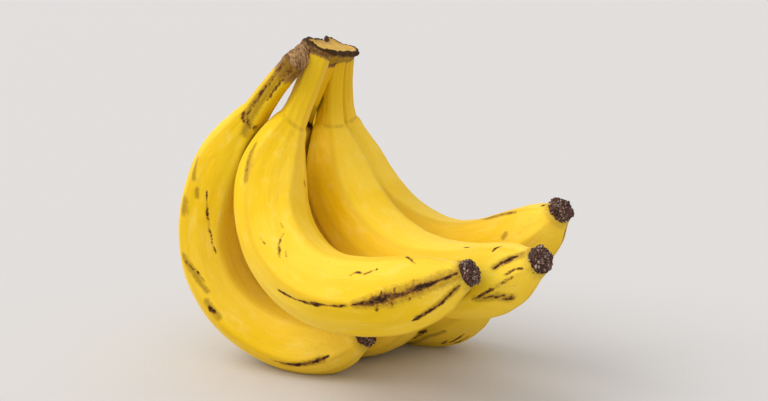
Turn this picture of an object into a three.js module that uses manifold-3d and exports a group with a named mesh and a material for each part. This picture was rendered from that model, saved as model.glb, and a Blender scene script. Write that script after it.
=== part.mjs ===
// A hand of six bananas resting on a table on the backs of three of them.
// Millimetres and degrees, +Z up. The origin is the middle of the bounding box, at table height.
import * as THREE from 'three';
import { mergeVertices } from 'three/addons/utils/BufferGeometryUtils.js';
import Module from 'manifold-3d';

const wasm = await Module();
wasm.setup();

// ---- Driving dimensions -------------------------------------------------------------------
const fingerLength = 222; // along the middle of a finger, pedicel included
const fingerWidth = 36; // across the belly of a finger
const pedicelLength = 42; // the thin stalk of each finger
const pedicelWidth = 11.6; // across that stalk
const noseLength = 32; // where a finger narrows to its dried end
const noseWidth = 12.5; // across the peel where the dried end sits
const ridgeHeight = 0.028; // of the five long ridges, as a share of the radius

const blossomEndLength = 6.5; // the dried remains of the flower
const blossomEndWidth = 13.2;

const crownHeight = 4.5; // of the crown above the pedicels' upper ends
const crownWidth = 18.5; // across the cut face, square to the row of pedicels
const crownCollar = 2; // how far the crown reaches down each pedicel
const crownWall = 1.3; // of that collar around the pedicel
const crownTilt = 30; // of the cut face, towards the finger ends
const crownRoll = 5; // of the cut face, down towards banana_4
const crownDraw = 0.35; // how far the arms draw together towards the cut face, as a share

const nestling = 0.8; // how deep two fingers press into each other
const flattening = 0.5; // how deep the table presses a resting finger flat
const gap = 0.3; // left between two pieces that touch

// ---- Fineness of the solids ---------------------------------------------------------------
const sidesAround = 15;
const stationsAlong = 30;
const beadCount = 48;
const settlingRounds = 120;

// ---- The six fingers ----------------------------------------------------------------------
// root     where the pedicel leaves the crown: x, y and height against the other roots
// heading  the direction in plan that the finger's end points to
// turn     how much the heading changes from the root to the end
// lean     of the whole finger to its left
// bends    the finger's angle to straight down at each of the five bend stations
// longer   length beyond fingerLength, and wider the same for fingerWidth
const bendStations = [0, 0.2, 0.43, 0.705, 1];
const hand = [
  {
    name: 'banana_1', root: [-43, -20.5, -1], heading: -25, turn: -4, lean: 4,
    bends: [-48, -37, -14, 61, 121], longer: 5.5, wider: -2.5, rests: true,
  },
  {
    name: 'banana_2', root: [-31.5, -10, 3], heading: -34, turn: 11, lean: -23,
    bends: [-9, -19, 33, 90, 122], longer: -10, wider: 0.5, rests: false,
  },
  {
    name: 'banana_3', root: [-25, 11, 0.5], heading: -50, turn: 21, lean: 0,
    bends: [-19, 11, 54, 91, 123], longer: -6, wider: 0, rests: false,
  },
  {
    name: 'banana_4', root: [-21.5, 25.5, -0.5], heading: -35, turn: 2, lean: 13,
    bends: [-15, -3, 43, 101, 138], longer: -4, wider: 0, rests: false,
  },
  {
    name: 'banana_5', root: [-29, 0.5, 0], heading: -31, turn: 23, lean: 4,
    bends: [-31, -35, -17, 69, 130], longer: 8.5, wider: 1, rests: true,
  },
  {
    name: 'banana_6', root: [-23, 36, -1.5], heading: -33, turn: 13, lean: 7,
    bends: [-40, -23, 10, 76, 132], longer: 22, wider: 1, rests: true,
  },
];

// Which fingers lie against each other, by their place in the list above.
const touching = [[0, 1], [0, 4], [1, 2], [2, 3], [2, 4], [3, 5], [4, 5]];

const peel = new THREE.MeshStandardMaterial({ color: 0xf0c419, roughness: 0.5, metalness: 0 });
const driedEnd = new THREE.MeshStandardMaterial({ color: 0x46302a, roughness: 0.9, metalness: 0 });
const driedCrown = new THREE.MeshStandardMaterial({ color: 0x8a6a3c, roughness: 0.85, metalness: 0 });

const radians = THREE.MathUtils.degToRad;
const down = new THREE.Vector3(0, 0, -1);

// ---- The middle line and the girth of a finger --------------------------------------------

/** The value at `at` of the line drawn straight from each station to the next. */
function between(stations, values, at) {
  const next = stations.findIndex((station, i) => i > 0 && at <= station);
  const i = next < 0 ? stations.length - 1 : next;
  const share = (at - stations[i - 1]) / (stations[i] - stations[i - 1]);
  return THREE.MathUtils.lerp(values[i - 1], values[i], share);
}

/** The direction in which a finger runs, at a share of its length from the root. */
function direction(finger, share) {
  const heading = radians(finger.heading + finger.turn * (share - 0.5));
  const bend = radians(between(bendStations, finger.bends, share));
  const outward = new THREE.Vector3(Math.cos(heading), Math.sin(heading), 0);
  const leaning = down.clone()
    .multiplyScalar(Math.cos(radians(finger.lean)))
    .addScaledVector(leftOf(finger), Math.sin(radians(finger.lean)));
  return leaning.multiplyScalar(Math.cos(bend)).addScaledVector(outward, Math.sin(bend));
}

/** The level direction square to a finger's heading. */
function leftOf(finger) {
  const heading = radians(finger.heading);
  return new THREE.Vector3(-Math.sin(heading), Math.cos(heading), 0);
}

function lengthOf(finger) {
  return fingerLength + finger.longer;
}

/** The outline of a finger: its radius against the distance from its root. */
function outlineOf(finger) {
  const length = lengthOf(finger);
  const belly = (fingerWidth + finger.wider) / 2;
  const stalk = pedicelWidth / 2;
  const end = noseWidth / 2;
  const neck = pedicelLength + 0.6 * fingerWidth;
  return new THREE.CatmullRomCurve3([
    new THREE.Vector3(stalk, 0),
    new THREE.Vector3(stalk * 1.03, pedicelLength * 0.5),
    new THREE.Vector3(stalk * 1.2, pedicelLength * 0.82),
    new THREE.Vector3(stalk + (belly - stalk) * 0.27, pedicelLength),
    new THREE.Vector3(stalk + (belly - stalk) * 0.63, pedicelLength + 0.3 * fingerWidth),
    new THREE.Vector3(stalk + (belly - stalk) * 0.87, neck),
    new THREE.Vector3(belly, neck + 0.8 * fingerWidth),
    new THREE.Vector3(belly, length - 2.1 * noseLength),
    new THREE.Vector3(belly * 0.95, length - noseLength),
    new THREE.Vector3(belly * 0.87, length - noseLength * 0.72),
    new THREE.Vector3(belly * 0.69, length - noseLength * 0.4),
    new THREE.Vector3(end + (belly - end) * 0.18, length - noseLength * 0.18),
    new THREE.Vector3(end, length),
  ], false, 'centripetal');
}

/**
 * A finger as a string of beads along its middle line, each with its place, the direction in
 * which the finger runs there, its radius, and how far it is free to move: the pedicel's upper
 * end is held by the crown, and everything past the pedicel is free.
 */
function beadsOf(finger) {
  const outline = outlineOf(finger).getSpacedPoints(4 * beadCount);
  const step = lengthOf(finger) / beadCount;
  const beads = [];
  const at = new THREE.Vector3(...finger.root);
  for (let i = 0; i <= beadCount; i += 1) {
    const run = direction(finger, i / beadCount);
    const radius = outline.find((point) => point.y >= i * step - 0.01).x;
    const free = THREE.MathUtils.smoothstep(i * step, 0, pedicelLength);
    beads.push({ at: at.clone(), run, radius, free });
    at.addScaledVector(run.clone().add(direction(finger, (i + 1) / beadCount)), step / 2);
  }
  return beads;
}

// ---- Fingers settle against the table and each other --------------------------------------

const neckBead = Math.ceil((pedicelLength / fingerLength) * beadCount);

/** The least distance between two fingers past their pedicels, and the way from one to the other. */
function closest(one, other) {
  let least = { distance: Infinity };
  for (const a of one.slice(neckBead)) {
    for (const b of other.slice(neckBead)) {
      const distance = a.at.distanceTo(b.at) - a.radius - b.radius;
      if (distance < least.distance) least = { distance, way: b.at.clone().sub(a.at).normalize() };
    }
  }
  return least;
}

/** Moves a finger sideways or up, while its root stays in the crown. */
function shift(beads, way, distance) {
  for (const bead of beads) bead.at.addScaledVector(way, distance * bead.free);
}

/** Makes each bead's run follow the beads beside it again, after a finger has moved. */
function align(beads) {
  for (const [i, bead] of beads.entries()) {
    const before = beads[Math.max(i - 1, 0)];
    const after = beads[Math.min(i + 1, beads.length - 1)];
    bead.run.subVectors(after.at, before.at).normalize();
  }
}

/** Moves fingers until the ones that touch just press flat against each other and the table. */
function settle(strings) {
  for (let round = 0; round < settlingRounds; round += 1) {
    for (const [i, j] of touching) {
      const { distance, way } = closest(strings[i], strings[j]);
      shift(strings[i], way, (distance + nestling) / 2);
      shift(strings[j], way, -(distance + nestling) / 2);
    }
    for (const [i, finger] of hand.entries()) {
      const lowest = Math.min(...strings[i].map((bead) => bead.at.z - bead.radius));
      if (finger.rests) shift(strings[i], down, lowest + flattening);
    }
  }
  strings.forEach(align);
}

/** Lifts the hand, so that the middle resting finger stands on the table before it settles. */
function lift(strings) {
  const lowest = Math.min(...strings[4].map((bead) => bead.at.z - bead.radius));
  for (const bead of strings.flat()) bead.at.addScaledVector(down, lowest);
}

// ---- Solids -------------------------------------------------------------------------------

/** A closed three.js geometry as a solid that can be joined and cut. */
function solidOf(geometry) {
  geometry.deleteAttribute('normal');
  geometry.deleteAttribute('uv');
  const merged = mergeVertices(geometry, 1e-3);
  const index = merged.getIndex().array;
  const triangles = [];
  for (let i = 0; i < index.length; i += 3) {
    const [a, b, c] = index.slice(i, i + 3);
    if (a !== b && b !== c && c !== a) triangles.push(a, b, c);
  }
  return new wasm.Manifold(new wasm.Mesh({
    numProp: 3,
    vertProperties: new Float32Array(merged.getAttribute('position').array),
    triVerts: new Uint32Array(triangles),
  }));
}

/** The largest connected piece of a solid, which drops the slivers that a cut can leave. */
function largestPiece(solid) {
  return solid.decompose().sort((one, other) => other.volume() - one.volume())[0];
}

function meshOf(name, solid, material) {
  const { vertProperties, triVerts } = largestPiece(solid).getMesh();
  const geometry = new THREE.BufferGeometry();
  geometry.setAttribute('position', new THREE.BufferAttribute(vertProperties, 3));
  geometry.setIndex(new THREE.BufferAttribute(triVerts, 1));
  geometry.computeVertexNormals();
  const mesh = new THREE.Mesh(geometry, material);
  mesh.name = name;
  return mesh;
}

/** A place on a finger: the middle line's point, run and two square directions. */
function placeAlong(finger, beads, distance) {
  const place = THREE.MathUtils.clamp((distance / lengthOf(finger)) * beadCount, 0, beadCount);
  const i = Math.min(Math.floor(place), beadCount - 1);
  const run = beads[i].run.clone().lerp(beads[i + 1].run, place - i).normalize();
  const at = beads[i].at.clone().lerp(beads[i + 1].at, place - i);
  at.addScaledVector(run, distance - (place / beadCount) * lengthOf(finger));
  const back = new THREE.Vector3().crossVectors(run, leftOf(finger)).normalize();
  const side = new THREE.Vector3().crossVectors(back, run);
  return { at, back, side };
}

/** Turns a round outline into a bent finger shape, ridged where the finger is full. */
function bend(outline, finger, beads, ridge) {
  const geometry = new THREE.LatheGeometry(outline, sidesAround);
  const vertex = new THREE.Vector3();
  const position = geometry.getAttribute('position');
  for (let i = 0; i < position.count; i += 1) {
    vertex.fromBufferAttribute(position, i);
    const around = Math.atan2(vertex.z, vertex.x);
    const fullness = THREE.MathUtils.smoothstep(vertex.y, pedicelLength, pedicelLength + fingerWidth);
    const radius = Math.hypot(vertex.x, vertex.z) * (1 + ridge * fullness * Math.cos(5 * around));
    const { at, back, side } = placeAlong(finger, beads, vertex.y);
    at.addScaledVector(back, radius * Math.cos(around));
    at.addScaledVector(side, radius * Math.sin(around));
    position.setXYZ(i, at.x, at.y, at.z);
  }
  return solidOf(geometry);
}

/** A whole finger up to where its dried end sits, grown outwards by `growth`. */
function fingerSolid(finger, beads, growth) {
  const length = lengthOf(finger) - blossomEndLength / 2;
  const outline = outlineOf(finger).getSpacedPoints(stationsAlong);
  const profile = [new THREE.Vector2(0, -growth)];
  for (const point of outline) {
    profile.push(new THREE.Vector2(point.x + growth, Math.min(point.y, length + growth)));
  }
  profile.push(new THREE.Vector2(0, length + growth));
  return bend(profile, finger, beads, ridgeHeight);
}

/** The dried flower remains: a short stub, widest in the middle, with a rounded end face. */
function blossomEndSolid(finger, beads, growth) {
  const start = lengthOf(finger) - blossomEndLength / 2 + gap - growth;
  const tall = blossomEndLength + 2 * growth;
  const wide = blossomEndWidth / 2 + growth;
  const profile = [
    new THREE.Vector2(0, start),
    new THREE.Vector2(wide * 0.86, start),
    new THREE.Vector2(wide * 0.98, start + tall * 0.35),
    new THREE.Vector2(wide, start + tall * 0.6),
    new THREE.Vector2(wide * 0.86, start + tall * 0.86),
    new THREE.Vector2(wide * 0.5, start + tall * 0.97),
    new THREE.Vector2(0, start + tall),
  ];
  return bend(profile, finger, beads, 0);
}

/** The crown: one arm over each pedicel, all grown together and cut off flat on top. */
function crownSolid(strings, growth) {
  const roots = strings.map((beads) => beads[0].at);
  const middle = new THREE.Vector3();
  for (const root of roots) middle.addScaledVector(root, 1 / roots.length);
  const row = new THREE.Vector3().subVectors(roots[5], roots[0]).setZ(0).normalize();
  const upward = new THREE.Vector3(0, 0, 1)
    .applyAxisAngle(row, radians(crownTilt))
    .applyAxisAngle(new THREE.Vector3().crossVectors(row, down), radians(crownRoll));
  const wide = crownWidth / 2 + growth;
  const narrow = pedicelWidth / 2 + crownWall + growth;
  const arms = strings.map((beads) => {
    const foot = beads[0].at.clone().addScaledVector(beads[0].run, crownCollar + growth);
    const top = beads[0].at.clone().lerp(middle, crownDraw).addScaledVector(upward, crownWidth * 0.8);
    const tall = top.distanceTo(foot);
    const outline = [
      new THREE.Vector2(0, 0),
      new THREE.Vector2(narrow, 0),
      new THREE.Vector2(wide * 0.94, tall * 0.4),
      new THREE.Vector2(wide, tall * 0.65),
      new THREE.Vector2(wide * 0.9, tall * 0.83),
      new THREE.Vector2(wide * 0.6, tall * 0.96),
      new THREE.Vector2(0, tall),
    ];
    const arm = new THREE.LatheGeometry(outline, sidesAround);
    const turn = new THREE.Quaternion().setFromUnitVectors(
      new THREE.Vector3(0, 1, 0),
      top.clone().sub(foot).normalize(),
    );
    arm.applyQuaternion(turn);
    arm.translate(foot.x, foot.y, foot.z);
    return solidOf(arm);
  });
  const reach = fingerLength;
  const above = new THREE.BoxGeometry(reach, reach, reach);
  above.translate(0, 0, reach / 2 + crownHeight + growth);
  above.applyQuaternion(new THREE.Quaternion().setFromUnitVectors(new THREE.Vector3(0, 0, 1), upward));
  above.translate(middle.x, middle.y, middle.z);
  return arms.reduce((whole, arm) => whole.add(arm)).subtract(solidOf(above));
}

/** The table's half-space, which flattens whatever is pressed onto it. */
function tableSolid() {
  const reach = 4 * fingerLength;
  const table = new THREE.BoxGeometry(reach, reach, fingerLength);
  table.translate(0, 0, -fingerLength / 2);
  return solidOf(table);
}

/** Lowers each resting finger's own solid, ridges and all, until the table flattens it. */
function seat(strings) {
  for (const [i, finger] of hand.entries()) {
    const lowest = fingerSolid(finger, strings[i], 0).boundingBox().min[2];
    if (finger.rests) shift(strings[i], down, lowest + flattening);
    align(strings[i]);
  }
}

// ---- Assembly -----------------------------------------------------------------------------

const strings = hand.map((finger) => beadsOf(finger));
lift(strings);
settle(strings);
seat(strings);

const pieces = [{ name: 'crown', material: driedCrown, make: (growth) => crownSolid(strings, growth) }];
hand.forEach((finger, i) => {
  pieces.push({
    name: finger.name,
    material: peel,
    make: (growth) => fingerSolid(finger, strings[i], growth),
  });
});
hand.forEach((finger, i) => {
  pieces.push({
    name: finger.name.replace('banana', 'blossom_end'),
    material: driedEnd,
    make: (growth) => blossomEndSolid(finger, strings[i], growth),
  });
});

const bunch = new THREE.Group();
const table = tableSolid();
const placed = [];
for (const { name, material, make } of pieces) {
  let solid = make(0).subtract(table);
  for (const neighbour of placed) solid = solid.subtract(neighbour);
  placed.push(make(gap));
  bunch.add(meshOf(name, solid, material));
}

const box = new THREE.Box3().setFromObject(bunch);
const centre = box.getCenter(new THREE.Vector3());
bunch.position.set(-centre.x, -centre.y, -box.min.z);

const banana_bunch = new THREE.Group();
banana_bunch.add(bunch);

export default banana_bunch;
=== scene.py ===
"""The looks of a hand of six ripe bananas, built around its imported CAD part.

It is laid out as an add-on and run as a script. Each operator makes one group of pieces,
and main() calls them in order. Lengths are millimetres unless a name says metres.
"""

import math

import bmesh
import bpy
import numpy as np
from bpy.props import FloatProperty, FloatVectorProperty, IntProperty, PointerProperty
from mathutils import Matrix, Vector


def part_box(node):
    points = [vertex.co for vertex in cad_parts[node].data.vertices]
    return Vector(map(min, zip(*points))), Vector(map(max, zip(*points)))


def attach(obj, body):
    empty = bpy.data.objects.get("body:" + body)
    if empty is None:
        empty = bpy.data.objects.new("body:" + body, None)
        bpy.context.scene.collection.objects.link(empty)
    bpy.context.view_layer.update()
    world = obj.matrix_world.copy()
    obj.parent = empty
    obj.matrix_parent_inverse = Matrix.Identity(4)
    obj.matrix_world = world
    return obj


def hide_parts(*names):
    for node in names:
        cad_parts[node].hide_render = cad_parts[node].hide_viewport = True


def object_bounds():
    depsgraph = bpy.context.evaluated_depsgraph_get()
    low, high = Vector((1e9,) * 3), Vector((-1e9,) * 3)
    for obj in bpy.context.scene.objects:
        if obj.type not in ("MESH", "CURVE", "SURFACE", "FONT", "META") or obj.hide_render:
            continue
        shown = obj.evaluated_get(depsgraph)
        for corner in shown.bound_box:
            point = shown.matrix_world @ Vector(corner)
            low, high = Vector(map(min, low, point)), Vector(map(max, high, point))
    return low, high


bl_info = {
    "name": "Hand of bananas",
    "version": (1, 0, 0),
    "blender": (4, 5, 0),
    "location": "3D View > Sidebar > Bananas",
    "description": "Grows a hand of ripe bananas around its CAD part",
    "category": "Object",
}

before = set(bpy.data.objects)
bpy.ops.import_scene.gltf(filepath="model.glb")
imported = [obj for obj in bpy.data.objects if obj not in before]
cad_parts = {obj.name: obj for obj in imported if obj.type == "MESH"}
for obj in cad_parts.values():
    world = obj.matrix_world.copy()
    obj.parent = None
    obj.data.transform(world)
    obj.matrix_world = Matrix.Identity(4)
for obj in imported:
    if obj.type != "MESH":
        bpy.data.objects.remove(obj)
CAD_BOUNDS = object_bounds()
MM = 0.001
# a wrapped grid's seam and poles are closed by merging what lies this near, in metres
SEAM_GAP = 2e-6

# ---- The hand: six fingers, as the CAD part lays them out ---------------------------------
# root     where the stalk leaves the crown, in mm: x, y and height against the other roots
# heading  the direction in plan that the finger's end points to, in degrees
# turn     how much the heading changes from the root to the end
# lean     of the whole finger to its left
# bends    the finger's angle to straight down at each of the five bend stations
# longer   length beyond FINGER_LENGTH, and wider the same for FINGER_WIDTH, in mm
# ridges   how far the five long ridges are turned round the finger, in degrees
BEND_STATIONS = (0, 0.2, 0.43, 0.705, 1)
HAND = (
    dict(root=(-43, -20.5, -1), heading=-25, turn=-4, lean=4, ridges=-40,
         bends=(-48, -37, -14, 61, 121), longer=5.5, wider=-2.5, rests=True),
    dict(root=(-31.5, -10, 3), heading=-34, turn=11, lean=-23, ridges=-17,
         bends=(-9, -19, 33, 90, 122), longer=-10, wider=0.5, rests=False),
    dict(root=(-25, 11, 0.5), heading=-50, turn=21, lean=0, ridges=-40,
         bends=(-19, 11, 54, 91, 123), longer=-6, wider=0, rests=False),
    dict(root=(-21.5, 25.5, -0.5), heading=-35, turn=2, lean=13, ridges=-30,
         bends=(-15, -3, 43, 101, 138), longer=-4, wider=0, rests=False),
    dict(root=(-29, 0.5, 0), heading=-31, turn=23, lean=4, ridges=10,
         bends=(-31, -35, -17, 69, 130), longer=8.5, wider=1, rests=True),
    dict(root=(-23, 36, -1.5), heading=-33, turn=13, lean=7, ridges=-38,
         bends=(-40, -23, 10, 76, 132), longer=22, wider=1, rests=True),
)
TOUCHING = ((0, 1), (0, 4), (1, 2), (2, 3), (2, 4), (3, 5), (4, 5))

FINGER_LENGTH = 222
FINGER_WIDTH = 36
STALK_LENGTH = 42
STALK_WIDTH = 11.6
NOSE_LENGTH = 32
NOSE_WIDTH = 12.5
BLOSSOM_LENGTH = 6.5
BLOSSOM_WIDTH = 12.6
# how far touching fingers sink into each other as they settle, and resting ones into the table
NESTLING = 0.8
FLATTENING = 0.5
BEADS = 48
SETTLING_ROUNDS = 120

# ---- The marks on the peel ----------------------------------------------------------------
# Each is a line drawn on one finger: its kind and then its points, each one the distance
# along the finger in mm, the angle around it in degrees and half the line's width in mm.
# A scar is dried black-brown peel, a scratch a fine brown line that never dries so dark,
# and a bruise a soft olive-brown smudge under the wax.
MARKS = (
    (0, "scratch", (78, 281, 0.15), (90, 293, 0.45), (101, 304, 0.4), (114, 311, 0.15)),
    (0, "bruise", (88, 243, 2.6), (92, 247, 2.8)),
    (0, "bruise", (66, 236, 0.9), (75, 250, 1.1)),
    (0, "bruise", (79, 262, 0.9), (83, 266, 0.9)),
    (0, "scratch", (115, 250, 0.3), (118, 256, 0.5), (121, 264, 0.3)),
    (0, "scratch", (121, 268, 0.2), (129, 277, 0.3)),
    (0, "bruise", (114, 252, 1.2), (121, 262, 1.6), (134, 272, 1.2)),
    (0, "scar", (142, 260, 0.8), (145, 263, 0.7)),
    (0, "bruise", (138, 262, 1.2), (148, 262, 1.6)),
    (0, "scratch", (181, 243, 0.3), (190, 245, 0.6)),
    (0, "scar", (190, 245, 0.6), (195, 246, 0.9), (202, 250, 0.7), (211, 256, 0.4)),
    (0, "bruise", (187, 242, 1.4), (208, 253, 1.6)),
    (0, "scar", (35, 252, 0.6), (37, 264, 0.9), (38, 276, 0.3)),
    (0, "scratch", (36, 270, 0.8), (38, 300, 0.9), (37, 330, 0.6)),
    (0, "scratch", (0, 250, 1.8), (9, 252, 1.1), (22, 259, 0.7), (35, 264, 0.9)),
    (0, "bruise", (6, 254, 2.2), (20, 259, 1.6), (34, 265, 1.8)),
    (0, "scratch", (0, 296, 1.2), (9, 299, 0.5), (22, 304, 0.3)),
    (0, "bruise", (0, 275, 5), (12, 272, 2), (34, 285, 2), (42, 300, 2)),
    (1, "bruise", (54, 246, 1), (60, 256, 2.4), (66, 264, 2.8), (73, 270, 1.3)),
    (1, "scratch", (58, 250, 0.3), (64, 258, 0.9), (68, 265, 0.5)),
    (1, "scratch", (119, 297, 0.3), (115, 304, 0.55), (111, 314, 0.3)),
    (1, "scratch", (110, 317, 0.3), (109, 322, 0.25)),
    (1, "scratch", (121, 305, 0.35), (119, 310, 0.25)),
    (1, "scratch", (102, 324, 0.25), (105, 325, 0.2)),
    (1, "scratch", (104, 288, 0.2), (108, 290, 0.2)),
    (1, "scratch", (160, 312, 0.25), (164, 318, 0.3), (168, 315, 0.25), (174, 321, 0.3)),
    (1, "scar", (126, 255, 0.3), (130, 258, 0.6), (133, 259, 0.3)),
    (1, "scratch", (133, 259, 0.3), (140, 262, 0.4)),
    (1, "scar", (140, 262, 0.3), (146, 265, 0.9), (150, 266, 0.3)),
    (1, "scratch", (150, 266, 0.4), (158, 267, 0.45), (168, 270, 0.5)),
    (1, "scar", (164, 269, 0.3), (170, 271, 0.7), (175, 272, 1.7), (181, 274, 2.1),
     (185, 275, 0.8), (189, 277, 1.6), (195, 277, 1.5), (201, 279, 0.6), (209, 284, 0.5)),
    (1, "bruise", (165, 270, 1.6), (180, 274, 4.2), (196, 278, 3.6), (208, 282, 3.6)),
    (1, "scratch", (174, 258, 0.3), (177, 272, 0.6), (177, 284, 0.2)),
    (1, "scratch", (181, 260, 0.3), (182, 274, 0.6), (184, 290, 0.2)),
    (1, "scratch", (189, 264, 0.3), (190, 278, 0.7), (192, 294, 0.3)),
    (1, "scar", (186, 223, 0.4), (190, 226, 0.8), (194, 228, 0.5), (200, 231, 0.5)),
    (1, "scratch", (199, 231, 0.5), (208, 240, 0.5)),
    (1, "bruise", (188, 226, 1.2), (206, 238, 1.6)),
    (1, "scratch", (184, 2, 0.2), (188, 342, 0.3), (193, 325, 0.2)),
    (1, "scratch", (168, 356, 0.25), (186, 358, 0.3), (200, 352, 0.25)),
    (2, "scar", (199, 318, 0.3), (200, 328, 0.6), (201, 336, 0.3)),
    (2, "scar", (179, 338, 0.3), (182, 336, 0.25)),
    (2, "scar", (201, 286, 0.2), (203, 291, 0.5), (206, 297, 0.55), (210, 306, 0.3)),
    (2, "scratch", (199, 282, 0.3), (206, 296, 0.8), (212, 312, 0.3)),
    (2, "bruise", (200, 286, 1.6), (212, 308, 1.8)),
    (2, "scar", (189, 245, 0.3), (193, 248, 0.6), (197, 249, 0.5)),
    (2, "scratch", (186, 244, 0.3), (197, 249, 0.6), (206, 253, 0.4)),
    (2, "scratch", (191, 240, 0.3), (195, 236, 0.4)),
    (2, "scar", (195, 232, 0.3), (198, 226, 0.5)),
    (2, "scar", (197, 218, 0.6), (199, 212, 1.3)),
    (2, "bruise", (188, 242, 2), (196, 232, 2.4), (199, 213, 2.4)),
    (2, "scratch", (204, 264, 0.4), (208, 268, 0.35), (211, 262, 0.3)),
    (3, "scratch", (174, 334, 0.2), (186, 330, 0.3), (198, 327, 0.25)),
    (3, "bruise", (178, 332, 0.8), (189, 330, 1.0), (200, 326, 0.7)),
    (3, "bruise", (190, 286, 1.2), (192, 290, 1.1)),
    (3, "scar", (213, 344, 0.8), (214, 338, 0.5)),
    (3, "scar", (203, 172, 0.3), (208, 170, 0.8), (214, 168, 0.8)),
    (3, "scratch", (190, 180, 0.3), (203, 174, 0.6), (214, 170, 0.7)),
    (4, "scar", (36, 320, 0.9), (38, 0, 1.6), (37, 40, 1)),
    (4, "bruise", (30, 340, 4), (37, 10, 5)),
    (5, "scratch", (198, 232, 0.4), (204, 246, 0.7), (208, 251, 0.5)),
    (5, "scar", (203, 247, 0.5), (207, 250, 0.7)),
    (5, "bruise", (192, 205, 1), (206, 236, 1.2), (216, 240, 1)),
)
# how much of its full depth each kind of line reaches
DEPTHS = {"scar": 1.0, "scratch": 0.7, "bruise": 1.0}
# how far past its ends a line is looked for, and how deep a dried scar sinks, in mm
MARK_MARGIN = 12
SCAR_SINK = 0.22
SCUFFS_PER_FINGER = 9
SCUFF_SEED = 11

# ---- The peel's relief, in mm -------------------------------------------------------------
# the slanting fold where a stalk opens into the neck, and the low shoulder under it
FOLD_ABOVE_NECK = 6
FOLD_SLANT = 2.5
FOLD_WIDTH = 1.2
FOLD_DEPTH = 0.4
SHOULDER = 0.7
# the long ridges, how narrow their crests and the lines on them are, and the share of their
# height that is taken from the hollows between them
RIDGES = 5.0
RIDGE_SHARPNESS = 2.4
EDGE_SHARPNESS = 6.0
RIDGE_FOOT = 0.35
# how far a ridge wanders round the finger in radians, and how fast it does
WANDER = 0.07
WANDER_PER_MM = 0.03
# the ridges' strength on a stalk, against 1 on the body
STALK_RIDGES = 1.2
# two fingers press each other flat until this gap is left, and by no more than this
PRESSED_GAP = 0.16
PRESSED_MOST = 1.2
# how wide a gap still gets the painted crevice shade, and how wide a gap still gets the painted
# olive shade of a neighbouring finger
TOUCHING_SHADE_REACH = 2.8
BETWEEN_SHADE_REACH = 20
# from 5 mm inside the box's wall, peel that would stand 1 mm past it is drawn back to it
EASED_DEPTH = 5
EASED_RATE = 1 / 36

# ---- The dried blossom ends ---------------------------------------------------------------
# the share of its length that is buried in the finger, and its whole height against that length
BLOSSOM_BURIED = 0.62
BLOSSOM_HEIGHT = 1.25
LOBES = 5.0
# the relief of its lumps, grain and cracks in mm, and how far it all shrinks back
LUMP_DEPTH = 2.6
GRAIN_DEPTH = 1.2
CRACK_WIDTH = 0.25
CRACK_DEPTH = 3.6
SHRINKAGE = 0.75

# ---- The crown, the ground and the lights -------------------------------------------------
# an arm's radius at each share of its length, and how many collars it grips down its stalk;
# the side arm ends this far from the next stalk's root
CROWN_ARM = dict(share=(0, 0.15, 0.45, 0.75, 1), radius=(5.0, 6.2, 7.2, 8.2, 8.6), grip=1)
SIDE_ARM = dict(share=(0, 0.12, 0.4, 0.7, 1), radius=(4.7, 5.9, 5.6, 4.9, 4.2), grip=2.2,
                end=(-6.5, 5, 0))
CROWN_ARM_SIDES = 40
# how far an arm runs past the cut before it is cut off, in mm
PAST_CUT = 3
CROWN_BRIDGES = ((1, 4), (4, 2), (2, 3), (3, 5))
CROWN_BRIDGE_RADIUS = 7.4
CROWN_DRAW = 0.35
# the cut face is what faces its normal this nearly and lies no further below it, in mm; its
# mark is blurred this often; and it sags and is rough by these depths
CUT_FACING = 0.8
CUT_MARGIN = 0.8
CUT_BLUR = 14
SAG_DEPTH = 4.0
TOOTH_DEPTH = 0.9
GROUND_SIDES = 96
GROUND_RINGS = 24
# where the two soft lights shine from: the upper left, and high in front
WINDOW_PLACE = (-1.0, -0.1, 1.0)
FILL_PLACE = (-0.3, -1.0, 1.3)
BODY = "root"


def smoothstep(value, low, high):
    """0 below low, 1 above high, and a smooth climb between them."""
    share = np.clip((value - low) / (high - low), 0, 1)
    return share * share * (3 - 2 * share)


def unit(vectors):
    """The vectors, each made one long."""
    return vectors / np.linalg.norm(vectors, axis=-1, keepdims=True)


def length_of(finger):
    """A finger's length along its middle line, its dried end included."""
    return FINGER_LENGTH + finger["longer"]


def left_of(finger):
    """The level direction square to a finger's heading."""
    heading = math.radians(finger["heading"])
    return np.array([-math.sin(heading), math.cos(heading), 0])


def catmull_rom(points, count):
    """The centripetal Catmull-Rom curve through points, as count samples in each stretch."""
    points = np.array(points, float)
    ends = np.vstack([2 * points[0] - points[1], points, 2 * points[-1] - points[-2]])
    curve = []
    for i in range(len(points) - 1):
        a, b, c, d = ends[i:i + 4]
        steps = [np.linalg.norm(q - p) ** 0.5 for p, q in ((a, b), (b, c), (c, d))]
        t1, t2, t3 = np.cumsum(steps)
        t = np.linspace(t1, t2, count, endpoint=False)[:, None]
        ab = (t1 - t) / t1 * a + t / t1 * b
        bc = (t2 - t) / (t2 - t1) * b + (t - t1) / (t2 - t1) * c
        cd = (t3 - t) / (t3 - t2) * c + (t - t2) / (t3 - t2) * d
        abc = (t2 - t) / t2 * ab + t / t2 * bc
        bcd = (t3 - t) / (t3 - t1) * bc + (t - t1) / (t3 - t1) * cd
        curve.append((t2 - t) / (t2 - t1) * abc + (t - t1) / (t2 - t1) * bcd)
    return np.vstack(curve + [points[-1:]])


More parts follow.
